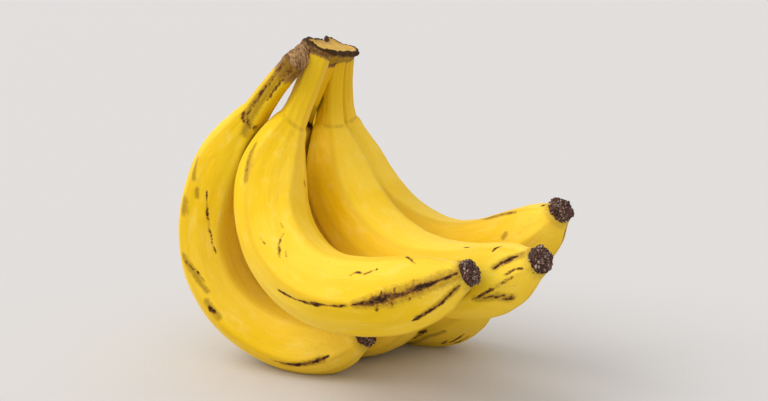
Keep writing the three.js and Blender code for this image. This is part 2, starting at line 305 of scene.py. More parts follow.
def radius_at(finger, along):
    """A finger's radius at each distance along it from the root."""
    length = length_of(finger)
    belly = (FINGER_WIDTH + finger["wider"]) / 2
    stalk = STALK_WIDTH / 2
    end = NOSE_WIDTH / 2
    neck = STALK_LENGTH + 0.6 * FINGER_WIDTH
    outline = catmull_rom([
        (stalk, 0),
        (stalk * 1.03, STALK_LENGTH * 0.5),
        (stalk * 1.2, STALK_LENGTH * 0.82),
        (stalk + (belly - stalk) * 0.27, STALK_LENGTH),
        (stalk + (belly - stalk) * 0.63, STALK_LENGTH + 0.3 * FINGER_WIDTH),
        (stalk + (belly - stalk) * 0.87, neck),
        (belly, neck + 0.8 * FINGER_WIDTH),
        (belly, length - 2.1 * NOSE_LENGTH),
        (belly * 0.95, length - NOSE_LENGTH),
        (belly * 0.87, length - NOSE_LENGTH * 0.72),
        (belly * 0.69, length - NOSE_LENGTH * 0.4),
        (end + (belly - end) * 0.18, length - NOSE_LENGTH * 0.18),
        (end, length),
    ], 24)
    return np.interp(along, outline[:, 1], outline[:, 0])


def spine(finger, along, shift=(0, 0, 0)):
    """A finger's middle line: its place and run at each distance along it, moved by shift."""
    length = length_of(finger)
    fine = np.linspace(0, length, 801)
    share = fine / length
    bend = np.radians(np.interp(share, BEND_STATIONS, finger["bends"]))
    heading = np.radians(finger["heading"] + finger["turn"] * (share - 0.5))
    outward = np.stack([np.cos(heading), np.sin(heading), 0 * heading], 1)
    lean = math.radians(finger["lean"])
    leaning = np.array([0, 0, -1]) * math.cos(lean) + left_of(finger) * math.sin(lean)
    run = leaning * np.cos(bend)[:, None] + outward * np.sin(bend)[:, None]
    steps = (run[1:] + run[:-1]) / 2 * (fine[1] - fine[0])
    free = smoothstep(fine, 0, STALK_LENGTH)[:, None]
    places = np.vstack([np.zeros(3), np.cumsum(steps, 0)])
    places = places + finger["root"] + free * np.array(shift)
    runs = unit(np.gradient(places, fine, axis=0))
    at = np.stack([np.interp(along, fine, places[:, k]) for k in range(3)], 1)
    run = unit(np.stack([np.interp(along, fine, runs[:, k]) for k in range(3)], 1))
    beyond = (along - np.clip(along, 0, length))[:, None]
    return at + run * beyond, run


def settle():
    """Each finger's shift, once the ones that touch press against each other and the table."""
    strings, radii, free = [], [], []
    for finger in HAND:
        along = np.linspace(0, length_of(finger), BEADS + 1)
        strings.append(spine(finger, along)[0])
        radii.append(radius_at(finger, along))
        free.append(smoothstep(along, 0, STALK_LENGTH)[:, None])
    lift = (strings[4][:, 2] - radii[4]).min()
    for beads in strings:
        beads[:, 2] -= lift
    past = math.ceil(STALK_LENGTH / FINGER_LENGTH * BEADS)
    moved = np.zeros((len(HAND), 3))
    for _ in range(SETTLING_ROUNDS):
        for i, j in TOUCHING:
            ways = strings[j][None, past:] - strings[i][past:, None]
            reach = np.linalg.norm(ways, axis=2)
            gaps = reach - radii[i][past:, None] - radii[j][None, past:]
            a, b = np.unravel_index(gaps.argmin(), gaps.shape)
            way = ways[a, b] / reach[a, b] * (gaps[a, b] + NESTLING) / 2
            for k, by in ((i, way), (j, -way)):
                strings[k] += free[k] * by
                moved[k] += by
        for i, finger in enumerate(HAND):
            if finger["rests"]:
                lowest = (strings[i][:, 2] - radii[i]).min()
                by = np.array([0, 0, -lowest - FLATTENING])
                strings[i] += free[i] * by
                moved[i] += by
    return -lift, moved


class Hand:
    """Where each finger's middle line runs in the part's frame, in mm."""

    def __init__(self):
        self.lift, self.moved = settle()
        self.offset = np.zeros(3)
        gaps = []
        for i, finger in enumerate(HAND):
            along = np.linspace(0, length_of(finger) - BLOSSOM_LENGTH / 2, 200)
            at, _, inner, side = self.frames(i, along)
            turn = np.linspace(0, 2 * math.pi, 72)[None, :, None]
            ring = inner[:, None] * np.cos(turn) + side[:, None] * np.sin(turn)
            skin = at[:, None] + ring * radius_at(finger, along)[:, None, None]
            skin = skin.reshape(-1, 3)
            low, high = (np.array(corner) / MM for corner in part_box(f"banana_{i + 1}"))
            gaps.append((low + high - skin.min(0) - skin.max(0)) / 2)
        self.offset = np.median(gaps, 0)

    def frames(self, i, along):
        """Place, run, and the directions to the inner side and across, at each distance."""
        at, run = spine(HAND[i], along, self.moved[i])
        at = at + [0, 0, self.lift] + self.offset
        inner = unit(np.cross(run, left_of(HAND[i])))
        return at, run, inner, np.cross(inner, run)


# ---- Small helpers ------------------------------------------------------------------------


def colour(text):
    """Linear RGBA from an sRGB hex value."""
    values = [int(text[k:k + 2], 16) / 255 for k in (1, 3, 5)]
    linear = [v / 12.92 if v <= 0.04045 else ((v + 0.055) / 1.055) ** 2.4 for v in values]
    return (*linear, 1)


def feed(tree, socket, value):
    """Gives a socket a value, another socket, a node's first output or a colour."""
    if isinstance(value, bpy.types.Node):
        value = next(s for s in value.outputs if s.enabled)
    if isinstance(value, bpy.types.NodeSocket):
        tree.links.new(value, socket)
    elif isinstance(value, str) and value.startswith("#"):
        socket.default_value = colour(value)
    elif socket.type == "RGBA":
        socket.default_value = (*value, 1)
    else:
        socket.default_value = value


def fill(tree, node, inputs):
    """Feeds a node's inputs, each by its name or by its place among those in use."""
    sockets = [socket for socket in node.inputs if socket.enabled]
    names = [socket.name for socket in sockets]
    for key, value in inputs.items():
        feed(tree, sockets[key if isinstance(key, int) else names.index(key)], value)


def add(tree, kind, *inputs, **settings):
    """Adds a node with its settings, and fills its inputs in order or, from a dict, by name.

    What follows a dot in kind is the node's operation or, where it has none, its data type.
    """
    kind, _, choice = kind.partition(".")
    made = tree.nodes.new(kind)
    if choice:
        setattr(made, "operation" if hasattr(made, "operation") else "data_type", choice)
    for name, value in settings.items():
        setattr(made, name, value)
    for place, value in enumerate(inputs):
        fill(tree, made, value if isinstance(value, dict) else {place: value})
    return made


def new_growth(name, inputs):
    """A Geometry Nodes tree with a geometry in and out, and the named inputs."""
    tree = bpy.data.node_groups.new(name, "GeometryNodeTree")
    tree.interface.new_socket("Geometry", in_out="INPUT", socket_type="NodeSocketGeometry")
    for label, kind, value in inputs:
        socket = tree.interface.new_socket(label, in_out="INPUT", socket_type=kind)
        if value is not None:
            socket.default_value = value
    tree.interface.new_socket("Geometry", in_out="OUTPUT", socket_type="NodeSocketGeometry")
    return tree, add(tree, "NodeGroupInput")


def grown(name, seed, tree, values, remesh=None):
    """The plain mesh that a tree grows out of the seed mesh."""
    carrier = bpy.data.objects.new(name, seed)
    bpy.context.scene.collection.objects.link(carrier)
    if remesh:
        skin = carrier.modifiers.new("skin", "REMESH")
        skin.mode = "VOXEL"
        skin.voxel_size = remesh
    modifier = carrier.modifiers.new("growth", "NODES")
    modifier.node_group = tree
    for item in tree.interface.items_tree:
        if item.in_out == "INPUT" and item.name in values:
            modifier[item.identifier] = values[item.name]
    graph = bpy.context.evaluated_depsgraph_get()
    evaluated = carrier.evaluated_get(graph)
    mesh = bpy.data.meshes.new_from_object(
        evaluated, preserve_all_data_layers=True, depsgraph=graph
    )
    carrier.modifiers.clear()
    bpy.data.objects.remove(carrier)
    mesh.name = name
    return mesh


def line_mesh(name, places, attributes):
    """A mesh of loose points with float or vector attributes on them."""
    mesh = bpy.data.meshes.new(name)
    mesh.from_pydata(places.tolist(), [], [])
    for label, values in attributes.items():
        write_attribute(mesh, label, values)
    return mesh


def write_attribute(mesh, label, values):
    """Stores one float or vector for each vertex of a mesh."""
    values = np.asarray(values, np.float32)
    kind = "FLOAT_VECTOR" if values.ndim == 2 else "FLOAT"
    layer = mesh.attributes.get(label) or mesh.attributes.new(label, kind, "POINT")
    layer.data.foreach_set("vector" if values.ndim == 2 else "value", values.ravel())


def read_vectors(mesh, label="position"):
    """Reads a vector for each vertex of a mesh: its position, unless a label is given."""
    values = np.empty(len(mesh.vertices) * 3, np.float32)
    mesh.attributes[label].data.foreach_get("vector", values)
    return values.reshape(-1, 3).astype(float)


def write_places(mesh, places):
    """Moves a mesh's vertices, with places in metres."""
    mesh.vertices.foreach_set("co", np.asarray(places, np.float32).ravel())
    mesh.update()


def normals_of(mesh):
    """The outward direction at each vertex of a mesh."""
    values = np.empty(len(mesh.vertices) * 3, np.float32)
    mesh.vertex_normals.foreach_get("vector", values)
    return values.reshape(-1, 3).astype(float)


def face_outwards(mesh):
    """Turns a closed mesh's faces outwards and shades it smooth."""
    work = bmesh.new()
    work.from_mesh(mesh)
    bmesh.ops.recalc_face_normals(work, faces=work.faces)
    if work.calc_volume(signed=True) < 0:
        bmesh.ops.reverse_faces(work, faces=work.faces)
    for face in work.faces:
        face.smooth = True
    work.to_mesh(mesh)
    work.free()


def show(name, mesh, node):
    """Shows a finished mesh in place of the CAD node it stands for."""
    piece = bpy.data.objects.new(name, mesh)
    bpy.context.scene.collection.objects.link(piece)
    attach(piece, BODY)
    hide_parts(node)


def material_tree(name):
    """A new material, its node tree and its surface shader."""
    material = bpy.data.materials.new(name)
    material.use_nodes = True
    tree = material.node_tree
    return material, tree, tree.nodes["Principled BSDF"]


def place_in_mm(tree):
    """Where each point of a surface lies in the part's frame, in mm."""
    place = add(tree, "ShaderNodeTexCoord").outputs["Object"]
    return add(tree, "ShaderNodeVectorMath.SCALE", place, 1 / MM)


def painted_on(tree, *labels):
    """The named float attributes that a piece's mesh carries."""
    return [
        add(tree, "ShaderNodeAttribute", attribute_name=label).outputs["Fac"] for label in labels
    ]


def coat(tree, under, over, pattern, low=None, high=None, most=1):
    """Lays one colour over another, as thick as pattern says or as it climbs from low to high."""
    if low is not None:
        pattern = add(tree, "ShaderNodeMapRange", pattern, low, high, 0, most,
                      interpolation_type="SMOOTHSTEP")
    return add(tree, "ShaderNodeMix.RGBA", pattern, under, over)


def uneven(tree, place, per_mm, stretch=(1, 1, 1), detail=2.0, rough=0.5, twist=0.0):
    """Natural unevenness of a place in mm: per_mm features in each mm, drawn out by stretch."""
    scaled = add(tree, "ShaderNodeVectorMath.MULTIPLY", place, stretch)
    return add(tree, "ShaderNodeTexNoise", {
        "Vector": scaled, "Scale": per_mm, "Detail": detail, "Roughness": rough,
        "Distortion": twist,
    })


# ---- Materials ----------------------------------------------------------------------------


def peel_material(settings):
    """Ripe banana peel: waxy living skin, grown, not made.

    It gives the eye a warm yellow that drifts between lemon and gold, fine fibres along the
    finger, olive stalks, and dry brown scars that are matt against the soft shine.
    """
    material, tree, shader = material_tree("ripe_banana_peel")
    straight = add(tree, "ShaderNodeAttribute", attribute_name="straight").outputs["Vector"]
    # three of these masks carry painted shade: into crevices, near other fingers and into the neck
    # fold
    edge, painted_between_shade, stalk, fold_and_shade, dried, nose, painted_crevice_shade, bruise, scar = painted_on(
        tree, "edge", "painted_between_shade", "stalk", "fold_and_shade", "dried", "nose", "painted_crevice_shade", "bruise", "scar"
    )
    # broad drifts 30 mm long, mottling of 5 mm, fibres 1 mm apart and a grain of 0.4 mm
    drift = uneven(tree, straight, 0.03, (1, 1, 0.55))
    mottle = uneven(tree, straight, 0.22, (1, 1, 0.4), 3, 0.6)
    fibres = uneven(tree, straight, 1.1, (1, 1, 0.05), 3, 0.6)
    grain = uneven(tree, straight, 2.6, rough=0.6)
    fray = uneven(tree, straight, 0.9, (1, 1, 0.6), 4, 0.7)
    # tiny freckles, half a millimetre across, only where the peel drifts to lemon
    freckle = uneven(tree, straight, 1.3, (1, 1, 0.8), 0)
    freckle = add(tree, "ShaderNodeMath.MULTIPLY", freckle, drift)
    # the stalk dries in streaks where it meets the crown, and the nose and bruises fray
    streak = uneven(tree, straight, 0.75, (1, 1, 0.06), 3, 0.65)
    dried = add(tree, "ShaderNodeMath.MULTIPLY_ADD", dried, 1.3, streak)
    nose = add(tree, "ShaderNodeMath.MULTIPLY_ADD", fray, 0.7, nose)
    bruise = add(tree, "ShaderNodeMath.MULTIPLY_ADD", fray, 1.1, bruise)
    # a scar breaks up on its way, and turns from brown at its edge to black-brown
    gaps = uneven(tree, straight, 0.28)
    broken = add(tree, "ShaderNodeMath.MULTIPLY_ADD", fray, 1.5, -1.45)
    broken = add(tree, "ShaderNodeMath.MULTIPLY_ADD", gaps, 1.4, broken)
    reach = add(tree, "ShaderNodeMapRange", scar, 0, 0.3, interpolation_type="SMOOTHSTEP")
    broken = add(tree, "ShaderNodeMath.MULTIPLY_ADD", broken, reach, scar)
    core = add(tree, "ShaderNodeMapRange", broken, 0.8, 1.06, interpolation_type="SMOOTHSTEP")
    skin = coat(tree, settings.gold, settings.lemon, drift, 0.36, 0.64)
    # each layer's colour and pattern, where the pattern starts and is full, and how thick
    # the layer then is; the ridges are a little greener, and peel near other fingers gets painted
    # shade
    for layer in (
        ("#FFDF74", mottle, 0.48, 0.78, 0.35),
        ("#D39A10", fibres, 0.5, 0.75, 0.16),
        ("#9A6A18", freckle, 0.42, 0.5, 0.2),
        ("#C79A10", edge, 0, 1, 0.3),
        # painted shade: darker olive peel near a neighbouring finger, which also stands for the
        # greener peel there
        ("#D2BC18", painted_between_shade, 0, 1, 0.4),
        (settings.stalk, stalk, 0.15, 1, 0.8),
        # painted shade in the fold where the stalk opens into the neck
        ("#8A7010", fold_and_shade, 0.1, 1, 0.3),
        ("#9A7438", dried, 0.72, 1.3),
        ("#5E4018", dried, 1.2, 1.9, 0.8),
        ("#8A6C2C", nose, 0.85, 1.45, 0.45),
        # painted crevice shade: dark olive where two fingers nearly touch
        ("#6A5606", painted_crevice_shade, 0, 1, 0.75),
        (settings.bruise, bruise, 0.8, 1.6, 0.68),
        ("#A87A1A", broken, 0.1, 0.75, 0.6),
        ("#6B4012", broken, 0.48, 0.78, 0.92),
        (settings.scar, core),
    ):
        skin = coat(tree, skin, *layer)
    shine = add(tree, "ShaderNodeMath.MULTIPLY_ADD", mottle, 0.16, 0.48)
    relief = add(tree, "ShaderNodeMath.MULTIPLY_ADD", grain, 0.35,
                 add(tree, "ShaderNodeMath.MULTIPLY", fibres, 0.6))
    bump = add(tree, "ShaderNodeBump", {
        "Height": add(tree, "ShaderNodeMath.MULTIPLY_ADD", core, -0.6, relief),
        "Strength": 0.25, "Distance": 0.0005,
    })
    fill(tree, shader, {
        "Base Color": skin,
        "Roughness": add(tree, "ShaderNodeMath.MULTIPLY_ADD", core, 0.3, shine),
        "IOR": 1.4,
        "Specular IOR Level": 0.26,
        "Subsurface Weight": 0.1,
        "Subsurface Radius": (1, 0.8, 0.2),
        "Subsurface Scale": 0.004,
        "Normal": bump,
    })
    return material


def dried_flower_material(settings):
    """Dried flower remains: brittle brown plant tissue, grown and then withered.

    It gives the eye a dark crumbly mosaic of cork-brown flakes with black gaps and no shine.
    """
    material, tree, shader = material_tree("dried_flower_remains")
    place = place_in_mm(tree)
    # flakes 1.4 mm across, each with its own tone, and a grain of half a millimetre
    cells = {"Vector": place, "Scale": 0.7}
    gaps = add(tree, "ShaderNodeTexVoronoi", cells, feature="DISTANCE_TO_EDGE")
    flakes = add(tree, "ShaderNodeTexVoronoi", cells).outputs["Color"]
    grain = uneven(tree, place, 1.8, detail=4, rough=0.7)
    tone = coat(tree, "#3A2018", "#8A543E", grain, 0.36, 0.66)
    pale = add(tree, "ShaderNodeSeparateColor", flakes)
    pale = add(tree, "ShaderNodeMapRange", pale, 0.45, 0.8, interpolation_type="SMOOTHSTEP")
    spots = add(tree, "ShaderNodeMapRange", grain, 0.42, 0.58, interpolation_type="SMOOTHSTEP")
    tone = coat(tree, tone, settings.flake, add(tree, "ShaderNodeMath.MULTIPLY", pale, spots))
    tone = coat(tree, "#180D09", tone, gaps, 0, 0.2)
    height = add(tree, "ShaderNodeMath.MULTIPLY_ADD", gaps, 1.4, grain)
    fill(tree, shader, {
        "Base Color": tone,
        "Roughness": 0.82,
        "Normal": add(tree, "ShaderNodeBump",
                      {"Height": height, "Strength": 0.7, "Distance": 0.0006}),
    })
    return material


def crown_material(settings):
    """Cut and dried crown of a banana hand: fibrous stalk tissue, cut with a knife.

    It gives the eye a golden tan cut face with rosy patches and dark pores, a dark shrunken
    rim, and flanks that go from brown fibre down to the olive yellow of the stalks.
    """
    material, tree, shader = material_tree("dried_crown_tissue")
    place = place_in_mm(tree)
    cut, below, withered = painted_on(tree, "cut", "below", "withered")
    # patches 6 mm across, a grain and pores of about 1 mm, and fibres drawn out downwards
    patches = uneven(tree, place, 0.16, detail=3, rough=0.6)
    grain = uneven(tree, place, 1.3, detail=4, rough=0.65)
    fibres = uneven(tree, place, 0.9, (1, 1, 0.16), 4, 0.65, 0.6)
    pores = uneven(tree, place, 0.95, detail=1)
    face = coat(tree, settings.cut, "#D79C6E", patches, 0.46, 0.66, 0.8)
    face = coat(tree, face, "#A87C28", grain, 0.5, 0.8, 0.4)
    face = coat(tree, face, "#5A3C12", pores, 0.67, 0.74, 0.7)
    flank = coat(tree, "#573814", "#A67B45", fibres, 0.38, 0.64)
    flank = coat(tree, flank, "#C49C6C", grain, 0.46, 0.7, 0.6)
    ash = coat(tree, "#6E4C26", "#C2986A", fibres, 0.4, 0.6)
    flank = coat(tree, flank, ash, withered, 0, 1, 0.7)
    young = coat(tree, "#937810", "#D0AA18", fibres, 0.4, 0.7)
    # the brown runs down in streaks, and furthest on the withered arm
    reach = add(tree, "ShaderNodeMath.MULTIPLY_ADD", fibres, 4.0, below)
    reach = add(tree, "ShaderNodeMath.MULTIPLY_ADD", withered, -14.0, reach)
    flank = coat(tree, flank, young, reach, 4.0, 6.6)
    rim = add(tree, "ShaderNodeMath.MULTIPLY_ADD", grain, 1.6, below)
    rim = add(tree, "ShaderNodeMath.MULTIPLY_ADD", withered, 1.2, rim)
    flank = coat(tree, settings.rim, flank, rim, 2.2, 4.2)
    ragged = add(tree, "ShaderNodeMath.MULTIPLY_ADD", grain, 0.4, cut)
    tone = coat(tree, flank, face, ragged, 0.7, 0.88)
    height = add(tree, "ShaderNodeMath.MULTIPLY_ADD", fibres, 1.2, grain)
    fill(tree, shader, {
        "Base Color": tone,
        "Roughness": 0.75,
        "Specular IOR Level": 0.25,
        "Normal": add(tree, "ShaderNodeBump",
                      {"Height": height, "Strength": 0.6, "Distance": 0.0008}),
    })
    return material


def floor_material(settings):
    """Matt pale paper backdrop: it gives the eye a plain ground with the softest tooth."""
    material, tree, shader = material_tree("matt_backdrop_paper")
    place = place_in_mm(tree)
    # the paper's tooth is about 1 mm
    tooth = uneven(tree, place, 0.8)
    fill(tree, shader, {
        "Base Color": coat(tree, settings.ground, "#D2D0CF", tooth, 0.3, 0.7),
        "Roughness": 0.9,
        "Specular IOR Level": 0.15,
    })
    return material


# ---- Growth trees -------------------------------------------------------------------------


def sampled(tree, given, index, kind, *labels):
    """The seed line's attributes of one kind, read at each station of the grid."""
    found = []
    for label in labels:
        attribute = add(tree, "GeometryNodeInputNamedAttribute", {"Name": label}, data_type=kind)
        found.append(add(
            tree, "GeometryNodeSampleIndex",
            {"Geometry": given["Geometry"], "Value": attribute, "Index": index},
            data_type=kind, clamp=True,
        ))
    return found


def wrapped_grid(tree, given):
    """A grid to wrap round the seed line: itself, and each point's station and angle."""
    grid = add(tree, "GeometryNodeMeshGrid", {
        "Size X": 1.0, "Size Y": 1.0,
        "Vertices X": given["Stations"],
        "Vertices Y": add(tree, "ShaderNodeMath.ADD", given["Sides"], 1),
    })
    spot = add(tree, "ShaderNodeSeparateXYZ", add(tree, "GeometryNodeInputPosition"))
    last = add(tree, "ShaderNodeMath.SUBTRACT", given["Stations"], 1)
    index = add(tree, "ShaderNodeMath.ADD", spot.outputs["X"], 0.5)
    index = add(tree, "ShaderNodeMath.MULTIPLY", index, last)
    index = add(tree, "ShaderNodeMath.ROUND", index)
    angle = add(tree, "ShaderNodeMath.ADD", spot.outputs["Y"], 0.5)
    angle = add(tree, "ShaderNodeMath.MULTIPLY", angle, math.tau)
    return grid, index, angle


def outward_from(tree, inner, side, angle):
    """The direction out from the line, and the cosine and sine of its angle."""
    cosine = add(tree, "ShaderNodeMath.COSINE", angle)
    sine = add(tree, "ShaderNodeMath.SINE", angle)
    inner = add(tree, "ShaderNodeVectorMath.SCALE", inner, cosine)
    side = add(tree, "ShaderNodeVectorMath.SCALE", side, sine)
    return add(tree, "ShaderNodeVectorMath.ADD", inner, side), cosine, sine


def relief_of(tree, place, per_mm, stretch=(1, 1, 1), detail=2.0, rough=0.5):
    """Unevenness that goes in as much as it goes out, from -0.5 to 0.5."""
    pattern = uneven(tree, place, per_mm, stretch, detail, rough)
    return add(tree, "ShaderNodeMath.SUBTRACT", pattern, 0.5)


def end_growth(tree, skin, material):
    """Ends a tree: its skin shaded smooth, its copies made real and its material set."""
    smooth = add(tree, "GeometryNodeSetShadeSmooth", {"Geometry": skin})
    whole = add(tree, "GeometryNodeRealizeInstances", {"Geometry": smooth})
    painted = add(tree, "GeometryNodeSetMaterial", {"Geometry": whole, "Material": material})
    add(tree, "NodeGroupOutput", {"Geometry": painted})
    return tree


def finger_growth():
    """The tree that grows a five-ridged skin round a seed line."""
    tree, source = new_growth("banana finger", (
        ("Stations", "NodeSocketInt", 300),
        ("Sides", "NodeSocketInt", 260),
        ("Ridge height", "NodeSocketFloat", 0.05),
        ("Ridge turn", "NodeSocketFloat", 0.0),
        ("Dent depth", "NodeSocketFloat", 0.4),
        ("Groove depth", "NodeSocketFloat", 0.35),
        ("Seed", "NodeSocketFloat", 0.0),
        ("Material", "NodeSocketMaterial", None),
    ))
    given = source.outputs
    grid, index, angle = wrapped_grid(tree, given)
    place, inner, side = sampled(tree, given, index, "FLOAT_VECTOR", "place", "inner", "side")
    radius, along, fullness, grooved = sampled(
        tree, given, index, "FLOAT", "radius", "along", "fullness", "grooved"
    )
    outward, cosine, sine = outward_from(tree, inner, side, angle)
    straight = add(tree, "ShaderNodeCombineXYZ", {
        0: add(tree, "ShaderNodeMath.MULTIPLY", cosine, radius),
        1: add(tree, "ShaderNodeMath.MULTIPLY", sine, radius),
        2: along,
    })
    shift = add(tree, "ShaderNodeCombineXYZ", given["Seed"])
    shifted = add(tree, "ShaderNodeVectorMath.ADD", straight, shift)
    # the ridges wander a little on their way along the finger
    wander = add(tree, "ShaderNodeMath.MULTIPLY_ADD", along, WANDER_PER_MM, given["Seed"])
    wander = add(tree, "ShaderNodeMath.SINE", wander)
    turned = add(tree, "ShaderNodeMath.SUBTRACT", angle, given["Ridge turn"])
    turned = add(tree, "ShaderNodeMath.MULTIPLY_ADD", wander, WANDER, turned)
    wave = add(tree, "ShaderNodeMath.MULTIPLY", turned, RIDGES)
    wave = add(tree, "ShaderNodeMath.COSINE", wave)
    peak = add(tree, "ShaderNodeMath.MULTIPLY_ADD", wave, 0.5, 0.5)
    peak = add(tree, "ShaderNodeMath.POWER", peak, RIDGE_SHARPNESS)
    strength = add(tree, "ShaderNodeMath.MULTIPLY", fullness, given["Ridge height"])
    ridge = add(tree, "ShaderNodeMath.SUBTRACT", peak, RIDGE_FOOT)
    ridge = add(tree, "ShaderNodeMath.MULTIPLY", ridge, strength)
    ridged = add(tree, "ShaderNodeMath.ADD", ridge, 1.0)
    grown_radius = add(tree, "ShaderNodeMath.MULTIPLY", radius, ridged)
    # broad dents 30 mm across, small ones of 8 mm, and grooves 3 mm apart along the finger
    dents = relief_of(tree, shifted, 0.035, (1, 1, 0.7))
    dents = add(tree, "ShaderNodeMath.MULTIPLY", dents, 2.0)
    dents = add(tree, "ShaderNodeMath.MULTIPLY", dents, given["Dent depth"])
    small = relief_of(tree, shifted, 0.13, (1, 1, 0.6))
    dents = add(tree, "ShaderNodeMath.MULTIPLY_ADD", small, 0.5, dents)
    grooves = relief_of(tree, shifted, 0.3, (1, 1, 0.08))
    grooves = add(tree, "ShaderNodeMath.MULTIPLY", grooves, given["Groove depth"])
    grooves = add(tree, "ShaderNodeMath.MULTIPLY", grooves, 3.0)
    grooves = add(tree, "ShaderNodeMath.MULTIPLY", grooves, grooved)
    relief = add(tree, "ShaderNodeMath.MULTIPLY_ADD", dents, fullness, grooves)
    closed = add(tree, "ShaderNodeMath.GREATER_THAN", radius, 0.01)
    grown_radius = add(tree, "ShaderNodeMath.MULTIPLY_ADD", relief, closed, grown_radius)
    grown_place = add(tree, "ShaderNodeVectorMath.SCALE", outward, grown_radius)
    grown_place = add(tree, "ShaderNodeVectorMath.ADD", place, grown_place)
    edge = add(tree, "ShaderNodeMath.POWER", peak, EDGE_SHARPNESS)
    edge = add(tree, "ShaderNodeMath.MULTIPLY", edge, fullness)
    skin = grid
    for label, value, kind in (("straight", straight, "FLOAT_VECTOR"), ("edge", edge, "FLOAT")):
        skin = add(tree, "GeometryNodeStoreNamedAttribute",
                   {"Geometry": skin, "Name": label, "Value": value},
                   data_type=kind, domain="POINT")
    skin = add(tree, "GeometryNodeSetPosition", {
        "Geometry": skin, "Position": add(tree, "ShaderNodeVectorMath.SCALE", grown_place, MM),
    })
    skin = add(tree, "GeometryNodeMergeByDistance", {"Geometry": skin, "Distance": SEAM_GAP})
    return end_growth(tree, skin, given["Material"])


def blossom_growth():
    """The tree that grows the withered knob at a finger's end, with crumbs stuck to it."""
    tree, source = new_growth("dried blossom end", (
        ("Stations", "NodeSocketInt", 70),
        ("Sides", "NodeSocketInt", 110),
        ("Lobe depth", "NodeSocketFloat", 0.09),
        ("Roughness", "NodeSocketFloat", 0.9),
        ("Crumb spacing", "NodeSocketFloat", 0.0011),
        ("Crumb size", "NodeSocketFloat", 0.00048),
        ("Seed", "NodeSocketInt", 0),
        ("Material", "NodeSocketMaterial", None),
    ))
    given = source.outputs
    grid, index, angle = wrapped_grid(tree, given)
    place, run, inner, side = sampled(
        tree, given, index, "FLOAT_VECTOR", "place", "run", "inner", "side"
    )
    radius, loose, endwise = sampled(tree, given, index, "FLOAT", "radius", "loose", "endwise")
    outward = outward_from(tree, inner, side, angle)[0]
    lobes = add(tree, "ShaderNodeMath.MULTIPLY_ADD", angle, LOBES, given["Seed"])
    lobes = add(tree, "ShaderNodeMath.COSINE", lobes)
    skew = add(tree, "ShaderNodeMath.MULTIPLY_ADD", angle, 2.0, given["Seed"])
    skew = add(tree, "ShaderNodeMath.COSINE", skew)
    swell = add(tree, "ShaderNodeMath.MULTIPLY_ADD", skew, 0.6, lobes)
    swell = add(tree, "ShaderNodeMath.MULTIPLY", swell, given["Lobe depth"])
    swell = add(tree, "ShaderNodeMath.ADD", swell, 1.0)
    wide = add(tree, "ShaderNodeMath.MULTIPLY", radius, swell)
    knob = add(tree, "ShaderNodeVectorMath.SCALE", outward, wide)
    knob = add(tree, "ShaderNodeVectorMath.ADD", place, knob)
    # lumps 3 mm across, a grain of 1 mm, and cracks between flakes of 2.4 mm
    rough = relief_of(tree, knob, 0.33, detail=3, rough=0.6)
    fine = relief_of(tree, knob, 1.1, detail=3, rough=0.7)
    crack = add(tree, "ShaderNodeTexVoronoi", {"Vector": knob, "Scale": 0.42},
                feature="DISTANCE_TO_EDGE")
    crack = add(tree, "ShaderNodeMath.MINIMUM", crack, CRACK_WIDTH)
    push = add(tree, "ShaderNodeMath.MULTIPLY", rough, LUMP_DEPTH)
    push = add(tree, "ShaderNodeMath.MULTIPLY_ADD", fine, GRAIN_DEPTH, push)
    push = add(tree, "ShaderNodeMath.MULTIPLY_ADD", crack, CRACK_DEPTH, push)
    push = add(tree, "ShaderNodeMath.SUBTRACT", push, SHRINKAGE)
    push = add(tree, "ShaderNodeMath.MULTIPLY", push, loose)
    push = add(tree, "ShaderNodeMath.MULTIPLY", push, given["Roughness"])
    way = add(tree, "ShaderNodeVectorMath.SCALE", run, endwise)
    way = add(tree, "ShaderNodeVectorMath.ADD", outward, way)
    way = add(tree, "ShaderNodeVectorMath.NORMALIZE", way)
    push = add(tree, "ShaderNodeVectorMath.SCALE", way, push)
    knob = add(tree, "ShaderNodeVectorMath.ADD", knob, push)
    skin = add(tree, "GeometryNodeSetPosition", {
        "Geometry": grid, "Position": add(tree, "ShaderNodeVectorMath.SCALE", knob, MM),
    })
    skin = add(tree, "GeometryNodeMergeByDistance", {"Geometry": skin, "Distance": SEAM_GAP})
    scattered = add(tree, "GeometryNodeDistributePointsOnFaces", {
        "Mesh": skin, "Distance Min": given["Crumb spacing"], "Density Max": 9e5,
        "Density Factor": 1.0, "Seed": given["Seed"],
    }, distribute_method="POISSON")
    crumb = add(tree, "GeometryNodeMeshIcoSphere", {"Radius": 1.0, "Subdivisions": 1})
    size = add(tree, "FunctionNodeRandomValue", {
        "Min": (0.5, 0.5, 0.25), "Max": (1.3, 1.2, 0.75), "Seed": given["Seed"],
    }, data_type="FLOAT_VECTOR")
    stuck = add(tree, "GeometryNodeInstanceOnPoints", {
        "Points": scattered.outputs["Points"], "Instance": crumb,
        "Rotation": scattered.outputs["Rotation"],
        "Scale": add(tree, "ShaderNodeVectorMath.SCALE", size, given["Crumb size"]),
    })
    joined = add(tree, "GeometryNodeJoinGeometry", stuck)
    feed(tree, joined.inputs[0], skin)
    return end_growth(tree, joined, given["Material"])


